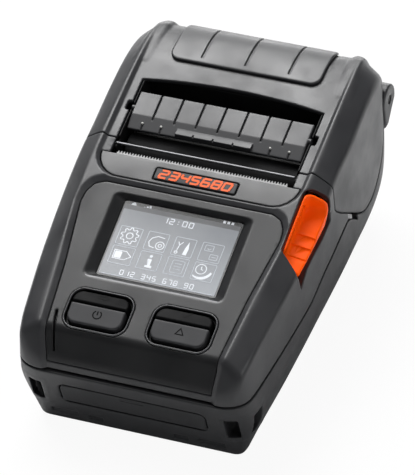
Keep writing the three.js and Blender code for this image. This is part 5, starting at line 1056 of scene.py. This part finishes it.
def trough(x, y, z):
    f = body(x, y, z)
    a = np.abs(x)
    p, wide = (x, y, z), TROUGH_HALF
    cheek = smax(IN_CHEEK(y, z), np.maximum(CHEEK_X[0] - a, a - CHEEK_X[1]), SHARP)
    floor = block(p, (-wide, 19, TROUGH_LOW), (wide, TROUGH_REAR[1], TROUGH_LOW + 1.4), 0.1)
    wall = block(p, (-wide, TROUGH_REAR[0], TROUGH_LOW), (wide, TROUGH_REAR[1], BEYOND), 0.1)
    limit = np.minimum(f + 2.7, np.maximum(IN_WINDOW(x, y) + 0.3, f + 1.3))
    solid = smax(union(cheek, floor, wall), limit, SHARP)
    bore = np.hypot(y - PLATEN_AT[0], z - PLATEN_AT[1]) - PLATEN_BORE
    slot = np.maximum(np.abs(y - PEELER_AT[0]) - PIN_SLOT, PEELER_AT[1] - PIN_SLOT - z)
    return np.maximum(solid, -np.minimum(bore, slot))


carve("window_trough", trough, "cover", BLACK, ("cover_frame",))

# Peeler plate with grooves, ticks and a flat block along its front edge
PEELER_LINE = [(13.9, 54.7), (14.5, 53.6), (21.5, 54.9), (27.2, 57.1), (27.2, 58.85), (18.6, 57.05)]
IN_PEELER = Flat(rounded(PEELER_LINE, [0.4, 0.4, 2, 0.3, 0.4, 1.2]), 0.08, 6)
PEELER_HALF, GROOVE_PITCH, GROOVE_HALF, GROOVE_DEPTH, GROOVE_FRONT = 29.2, 7.25, 0.24, 0.8, 17.6
TICKS, LUMP_TICKS, TICK_HALF = (-24.6, -18.3, 18.3, 24.6), (-6.9, -0.3, 6.4), 0.2
PIN_R, PIN_X = 0.9, (28.6, 30.1)
STUD_Y, STUD_Z, STUD_R = 16.1, 55.9, 0.42


def peeler(x, y, z):
    a = np.abs(x)
    solid = smax(IN_PEELER(y, z), a - PEELER_HALF, 0.5)
    tail = 57.05 + (y - 18.6) * 0.207
    for k in range(-3, 4):
        groove = common(np.abs(x - k * GROOVE_PITCH) - GROOVE_HALF, GROOVE_FRONT - y, tail - GROOVE_DEPTH - z)
        solid = smax(solid, -groove, 0.1)
    lump = block((x, y, z), (-13.0, 13.95, 54.3), (12.5, 16.4, 56.2), 0.25)
    solid = smin(solid, lump, 0.12)
    edge_z = 54.3 + (y - 13.9) * 0.5
    for tick in TICKS:
        solid = smax(solid, -common(np.abs(x - tick) - TICK_HALF, y - 15.6, edge_z - z), 0.1)
    for tick in LUMP_TICKS:
        solid = smax(solid, -common(np.abs(x - tick) - TICK_HALF, y - 14.9, 55.6 - z), 0.1)
    return smin(solid, rod(y, z, *PEELER_AT, PIN_R, a, *PIN_X), SHARP)


def peeler_glint_studs(x, y, z):
    """Small pale studs at the upper ends of the ticks, whose pale colour is a painted highlight."""
    stud = [(x - tick) ** 2 + (y - STUD_Y) ** 2 + (z - STUD_Z) ** 2 for tick in TICKS]
    return np.sqrt(union(*stud)) - STUD_R


def peel_rod(x, y, z):
    return block((x, y, z), (-30.0, 6.5, 54.2), (30.0, 7.4, 55.0), 0.35)


carve("peeler_blade", peeler, "peeler", SHELL, ("peeler_plate",))
# Pale nylon on these studs is a painted highlight at the ticks' upper ends
carve("peeler_glint_studs", peeler_glint_studs, "peeler", NYLON, (), "peeler_plate", keep=1)
carve("peel_rod", peel_rod, "cover", ROD, ("peel_bar",))


# Latch lever with its scoop and finger steps
def plane_through(a, b, c):
    n = np.cross(b - a, c - a)
    n = n / np.linalg.norm(n)
    return (*n, float(n @ a)) if n @ OUT > 0 else (*-n, -float(n @ a))


def inward(p, distance):
    return p + (MIDDLE - p) / np.linalg.norm(MIDDLE - p) * distance


def over(plane, x, y, z):
    return plane[0] * x + plane[1] * y + plane[2] * z - plane[3]


TOP_LEFT, LOW_LEFT, LOW_RIGHT, _, _, TOP_RIGHT = LEVER_POINTS
LEFT_WALL = plane_through(inward(TOP_LEFT, 1.7), inward(LOW_LEFT, 1.4), SCOOP_POINTS[0])
RIGHT_WALL = plane_through(inward(TOP_RIGHT, 1.6), inward(LOW_RIGHT, 1.2), SCOOP_POINTS[0] + OUT * 1.5)
REAR_U = max(q[0] for q in LEVER_FLAT)
STEP_PITCH, STEP_HEIGHT, LEVER_DEEP = 4.2, 0.6, 8.5
SHAFT_AT, SHAFT_BORE, ARM_X = (-3.2, 26), 1.8, (35.4, 37.2)


def lever_block(x, y, z):
    f = body(x, y, z)
    u, v, w = lever_frame(x, y, z)
    outline = smax(IN_LEVER(u, v), left_limit(f, LEVER_WALL, 3.4) - x, 0.4)
    solid = smax(smax(outline, f - 0.05, 0.7), -(f + LEVER_DEEP), 0.4)
    solid = smax(solid, -np.maximum(WEDGE(y, z) + 2.2, 36 - x), SOFT)
    step = ((u + 20) / STEP_PITCH) % 1.0
    saw = np.clip(3.0 - np.abs(u + 3.0) * 0.5, 0, 1) * step * STEP_HEIGHT
    rear_wall = (u - REAR_U + 2.4) * 0.9 - (w + 3) * 0.25
    scoop = smax(-over(LEFT_WALL, x, y, z), -(over(RIGHT_WALL, x, y, z) + saw), 1.2)
    solid = smax(solid, -smax(scoop, rear_wall, 2.2), 0.6)
    arm = block((x, y, z), (ARM_X[0], -6.4, SHAFT_AT[1]), (ARM_X[1], 0.0, 45), 0.2)
    boss = rod(y, z, *SHAFT_AT, 3.2, x, *ARM_X)
    solid = smin(solid, smin(arm, boss, SHARP), SOFT)
    return np.maximum(solid, SHAFT_BORE - np.hypot(y - SHAFT_AT[0], z - SHAFT_AT[1]))


carve("lever", lever_block, "latch", ORANGE_PAINTED_GLOW, ("latch_lever",))


# Stop of the cover, a pale tab in the notch under the cover's seam
def stop_tab(x, y, z):
    f, cover = body(x, y, z), IN_COVER(y, z)
    height = np.maximum(cover - 1.8, 0.3 - cover)
    solid = smax(height, np.maximum(np.abs(y - 19.9) - 1.6, 39.4 - x), SHARP)
    return smax(solid, smax(f + 0.3, -(f + 2.6), SHARP), SHARP)


carve("stop_tab", stop_tab, "printer", PALE, ("cover_stop",), keep=1)

# Base with its battery bay, rails, strap posts, port opening and hinge ears
BELOW = -9
BAY_HALF, BAY_Y, BAY_TOP = 27.5, (-55, 12), 16.3
SCREW_X, SCREW_Y, SCREW_HEAD_R, SCREW_R, SCREW_SEAT = 32.1, (-46.5, -25.5), 2.4, 1.7, 9.6
POST_X, POST_Y, POST_R, RAIL_HALF = 26, (-57.4, -16.6), 1.5, 33
PORT_GAP, PORT_HINGE_Y, PORT_HINGE_Z = 0.35, -62.67, 11.15
IN_PORT = Flat(rect(-24, 24, 10.5, 18.5, 2.0), 0.12, 8)
ear_turns = np.linspace(-0.5, math.pi + 0.3, 14)
ear_arc = [(HINGE_Y + EAR_R * math.cos(t), HINGE_Z + EAR_R * math.sin(t)) for t in ear_turns]
IN_EAR = Flat(ear_arc + [(55.5, 34.8), (58.0, 34.8)], 0.12, 8)


def bay_walls(a, y, z):
    """What stands up inside the base: walls of the battery bay and of the catch, corners, rails and posts."""
    q = (a, y, z)
    pack = block(q, (-1, -56.6, -1), (29.1, 13.6, 17.9))
    bay = smin(pack, block(q, (-1, 11.5, -1), (12.8, 22.1, 7.4)), SOFT)
    corner = block(q, (28.6, -66, 7.9), (43, -53.3, 19.6))
    rails = [block(q, (-1, rail, -1), (RAIL_HALF, rail + 1.6, 8.6)) for rail in (48.25, 27.15)]
    bed = [block(q, (-1, 26.5, -1), (RAIL_HALF, 50.5, 6.1)), rod(a, y, 0, 38.5, 1.5, z, -1, 8.9)]
    bosses = [rod(a, y, SCREW_X, by, 2.6, z, -1, 15.5) for by in SCREW_Y]
    posts = [rod(a, y, POST_X, sy, POST_R, z, 16, 19.7) for sy in POST_Y]
    return union(bay, corner, *rails, *bed, *bosses, *posts)


def base_openings(x, y, z, f):
    """Battery bay, catch, screws, port and its hinge, strap openings and the notches of the front foot."""
    a = np.abs(x)
    q = (a, y, z)
    bay = block((x, y, z), (-BAY_HALF, BAY_Y[0], BELOW), (BAY_HALF, BAY_Y[1], BAY_TOP))
    catch = [block(q, (-1, 11.5, BELOW), (8.3, 20.5, 3.8)), block(q, (-1, 11.5, 2.2), (9.9, 20.5, 3.8))]
    screws = [rod(a, y, SCREW_X, by, SCREW_HEAD_R, z, BELOW, SCREW_SEAT) for by in SCREW_Y]
    screws += [rod(a, y, SCREW_X, by, SCREW_R, z, BELOW, 16) for by in SCREW_Y]
    port = [common(IN_PORT(x, z) - PORT_GAP, -(f + 1.6), y + 55),
            block(q, (-1, -70, 12.5), (22, -55.5, 17.5)),
            np.maximum(rod(y, z, PORT_HINGE_Y, PORT_HINGE_Z, 1.3, a, -1, 25.2), f + 0.6)]
    straps = [block(q, (30.2, -70, 9.5), (34.6, -54.9, 18), 0.5),
              block(q, (30.2, -59.5, 9.5), (47, -54.9, 18), 0.5)]
    notches = np.minimum(block(q, (20.1, -70, 3.3), (28.8, -61.5, 5.4), 0.2),
                         block(q, (11.8, -70, 3.0), (16.5, -61.5, 5.0), 0.2))
    return union(bay, *catch, *screws, *port, *straps, np.maximum(notches, -(f + 1.2)))


def base_shell(x, y, z):
    f = body(x, y, z)
    a = np.abs(x)
    solid = smax(f, -(f + WALL), SOFT)
    solid = smax(solid, SEAM / 2 - IN_UPPER(y, z), 0.25)
    solid = smax(solid, SEAM / 2 - IN_COVER(y, z), 0.5)
    solid = smin(solid, np.maximum(bay_walls(a, y, z), f + 0.05), 0.4)
    ears = smax(IN_EAR(y, z), np.maximum(EAR_X + 0.4 - a, a - 40.6), 0.8)
    solid = smin(solid, ears, 0.4)
    solid = smax(solid, -base_openings(x, y, z, f), SOFT)
    solid = np.maximum(smax(solid, -tab_notch(x, y, z), SHARP), 0.12 - z)
    return np.maximum(solid, -hinge_rod(y, z, HINGE_BORE))


def port_flap(x, y, z):
    f = body(x, y, z)
    solid = smax(smax(f, -(f + 1.3), SHARP), smax(IN_PORT(x, z), PORT_HINGE_Z - 0.3 - z, SHARP), 0.5)
    grip = common(np.abs(np.abs(z - 17.3) - 0.45) - 0.12, np.abs(x) - 4, -(f + 0.25))
    solid = smax(solid, -grip, 0.15)
    pins = rod(y, z, PORT_HINGE_Y, PORT_HINGE_Z, 0.65, np.abs(x), -1, 24.6)
    return smin(np.maximum(solid, y + 58), pins, SHARP)


carve("base_shell", base_shell, "printer", LOW, ("bottom_housing",), keep=0.3)
carve("port_flap_cover", port_flap, "port_flap", BATTERY, ("port_cover",))

# Plain rigid pieces: CAD solids with rounded edges, or with a material alone
MERGE, FLAT_ANGLE, EDGE_ANGLE = 2e-6, math.radians(1), math.radians(34)
BODY_OF = {node: name for name, members in frame["record"]["behaviour"]["bodies"].items() for node in members}
ROUNDED = {"battery_pack": (BATTERY, 0.5), "battery_latch": (BATTERY, 0.2), "head_heatsink": (STEEL, 0.2),
           "print_head": (BLACK, 0.3), "main_board": (BOARD, 0.1), "lcd_module": (STEEL, 0.2),
           "media_guide_left": (SHELL, 0.25), "media_guide_right": (SHELL, 0.25),
           "stepper_motor": (STEEL, 0.3)}
AS_BUILT = {
    BOARD: ["keypad_board"], BLACK: ["hinge_pin"], RUBBER: ["platen_roller"],
    NYLON: ["platen_gear", "idler_gear", "motor_pinion", "guide_pinion"],
    STEEL: ["platen_shaft", "platen_bush_left", "platen_bush_right", "idler_pin", "chassis",
            "head_spring_left", "head_spring_right", "latch_shaft", "usb_socket", "base_screw_1",
            "base_screw_2", "base_screw_3", "base_screw_4"],
}


def rounded_copy(name, look, width):
    """A copy of a CAD solid with its edges rounded."""
    bm = bmesh.new()
    bm.from_mesh(frame["nodes"][name].data)
    bmesh.ops.remove_doubles(bm, verts=bm.verts, dist=MERGE)
    bmesh.ops.dissolve_limit(bm, angle_limit=FLAT_ANGLE, verts=bm.verts, edges=bm.edges)
    mesh = bpy.data.meshes.new(name + "_part")
    bm.to_mesh(mesh)
    bm.free()
    obj = link(name + "_part", mesh, BODY_OF[name], look, (name,))
    bevel = obj.modifiers.new("edges", "BEVEL")
    bevel.width = width * MM
    bevel.segments = 2
    bevel.limit_method = "ANGLE"
    bevel.angle_limit = EDGE_ANGLE
    bevel.use_clamp_overlap = True
    bevel.harden_normals = True
    baked(obj)


for name, (look, width) in ROUNDED.items():
    rounded_copy(name, look, width)
for look, names in AS_BUILT.items():
    for name in names:
        for slot in frame["nodes"][name].material_slots:
            slot.material = look

# Camera at the photograph's angle
PICTURE, FOCAL, DISTANCE = (415, 475), 4899.34, 1528.85
BODY_MIDDLE, SEEN_AT = (0, 0, 30), (204.444, 232.409)
AZ, EL, ROLL = (math.radians(v) for v in (26.615, 43.222, -7.439))
forward = Vector((-math.sin(AZ) * math.cos(EL), math.cos(AZ) * math.cos(EL), -math.sin(EL)))
level_right = Vector((math.cos(AZ), math.sin(AZ), 0))
level_up = level_right.cross(forward)
right = level_right * math.cos(ROLL) + level_up * math.sin(ROLL)
up = level_up * math.cos(ROLL) - level_right * math.sin(ROLL)
shift = [(seen - size / 2) * DISTANCE / FOCAL for seen, size in zip(SEEN_AT, PICTURE)]
eye_at = (Vector(BODY_MIDDLE) - shift[0] * right + shift[1] * up - DISTANCE * forward) * MM
camera = bpy.data.cameras.new("camera")
camera.sensor_fit = "VERTICAL"
camera.sensor_height = 36
camera.lens = FOCAL / PICTURE[1] * camera.sensor_height
camera.clip_end = 50
eye = bpy.data.objects.new("camera", camera)
eye.matrix_world = Matrix([(right[k], up[k], -forward[k], eye_at[k]) for k in range(3)] + [(0, 0, 0, 1)])
bpy.context.scene.collection.objects.link(eye)
bpy.context.scene.camera = eye

# Floor, world and lights
WHITE, FLOOR_WHITE, FLOOR_SIZE, FLOOR_DROP = (1, 1, 1, 1), 0.93, 8, 0.0002
LIGHTS = {"key": ((-0.30, 0.473, 0.74), (0.72, 0.44), 12.2), "back": ((-0.45, 1.2, 0.17), (0.9, 0.4), 6),
          "top": ((-0.275, 0.055, 0.84), (0.22, 0.22), 0.8), "right_fill": ((1.3, -0.3, 0.9), (0.8, 0.8), 5),
          "front_fill": ((0.9, -1.3, 0.8), (0.9, 0.9), 0.6)}


def seen_directly(tree):
    """One for rays that come from the camera, also through something clear."""
    path = node(tree, "LightPath", {}).outputs
    return arithmetic(tree, "MAXIMUM", path["Is Camera Ray"], path["Is Transmission Ray"])


def softbox(name, where, size, power):
    light = bpy.data.lights.new(name, "AREA")
    light.shape = "RECTANGLE"
    light.size, light.size_y = size
    light.energy = power
    obj = bpy.data.objects.new(name, light)
    obj.location = where
    obj.rotation_euler = (Vector(BODY_MIDDLE) * MM - Vector(where)).to_track_quat("-Z", "Y").to_euler()
    bpy.context.scene.collection.objects.link(obj)


floor_mat = bpy.data.materials.new("floor")
floor_mat.use_nodes = True
tree = floor_mat.node_tree
shader = tree.nodes["Principled BSDF"]
feed(tree, shader, {"Base Color": (0.9, 0.9, 0.9, 1), "Roughness": 0.9, "Specular IOR Level": 0.1})
share = arithmetic(tree, "MULTIPLY", seen_directly(tree), FLOOR_WHITE)
glow = node(tree, "Emission", {"Color": WHITE, "Strength": 1.0})
mixed = node(tree, "MixShader", {"Fac": share, 1: shader.outputs[0], 2: glow.outputs[0]})
feed(tree, tree.nodes["Material Output"], {"Surface": mixed.outputs[0]})
bpy.ops.mesh.primitive_grid_add(x_subdivisions=2, y_subdivisions=2, size=FLOOR_SIZE,
                                location=(0, 0, -FLOOR_DROP))
floor = bpy.context.object
floor.name = "floor"
floor.data.materials.append(floor_mat)

world = bpy.data.worlds.new("world")
bpy.context.scene.world = world
world.use_nodes = True
tree = world.node_tree
plain = tree.nodes["Background"]
feed(tree, plain, {"Color": (0.9, 0.95, 1.0, 1), "Strength": 0.12})
white = node(tree, "Background", {"Color": WHITE, "Strength": 1.0})
mixed = node(tree, "MixShader", {"Fac": seen_directly(tree), 1: plain.outputs[0], 2: white.outputs[0]})
feed(tree, tree.nodes["World Output"], {"Surface": mixed.outputs[0]})

for name, (where, size, power) in LIGHTS.items():
    softbox(name, where, size, power)
bpy.context.scene.view_settings.view_transform = "Standard"
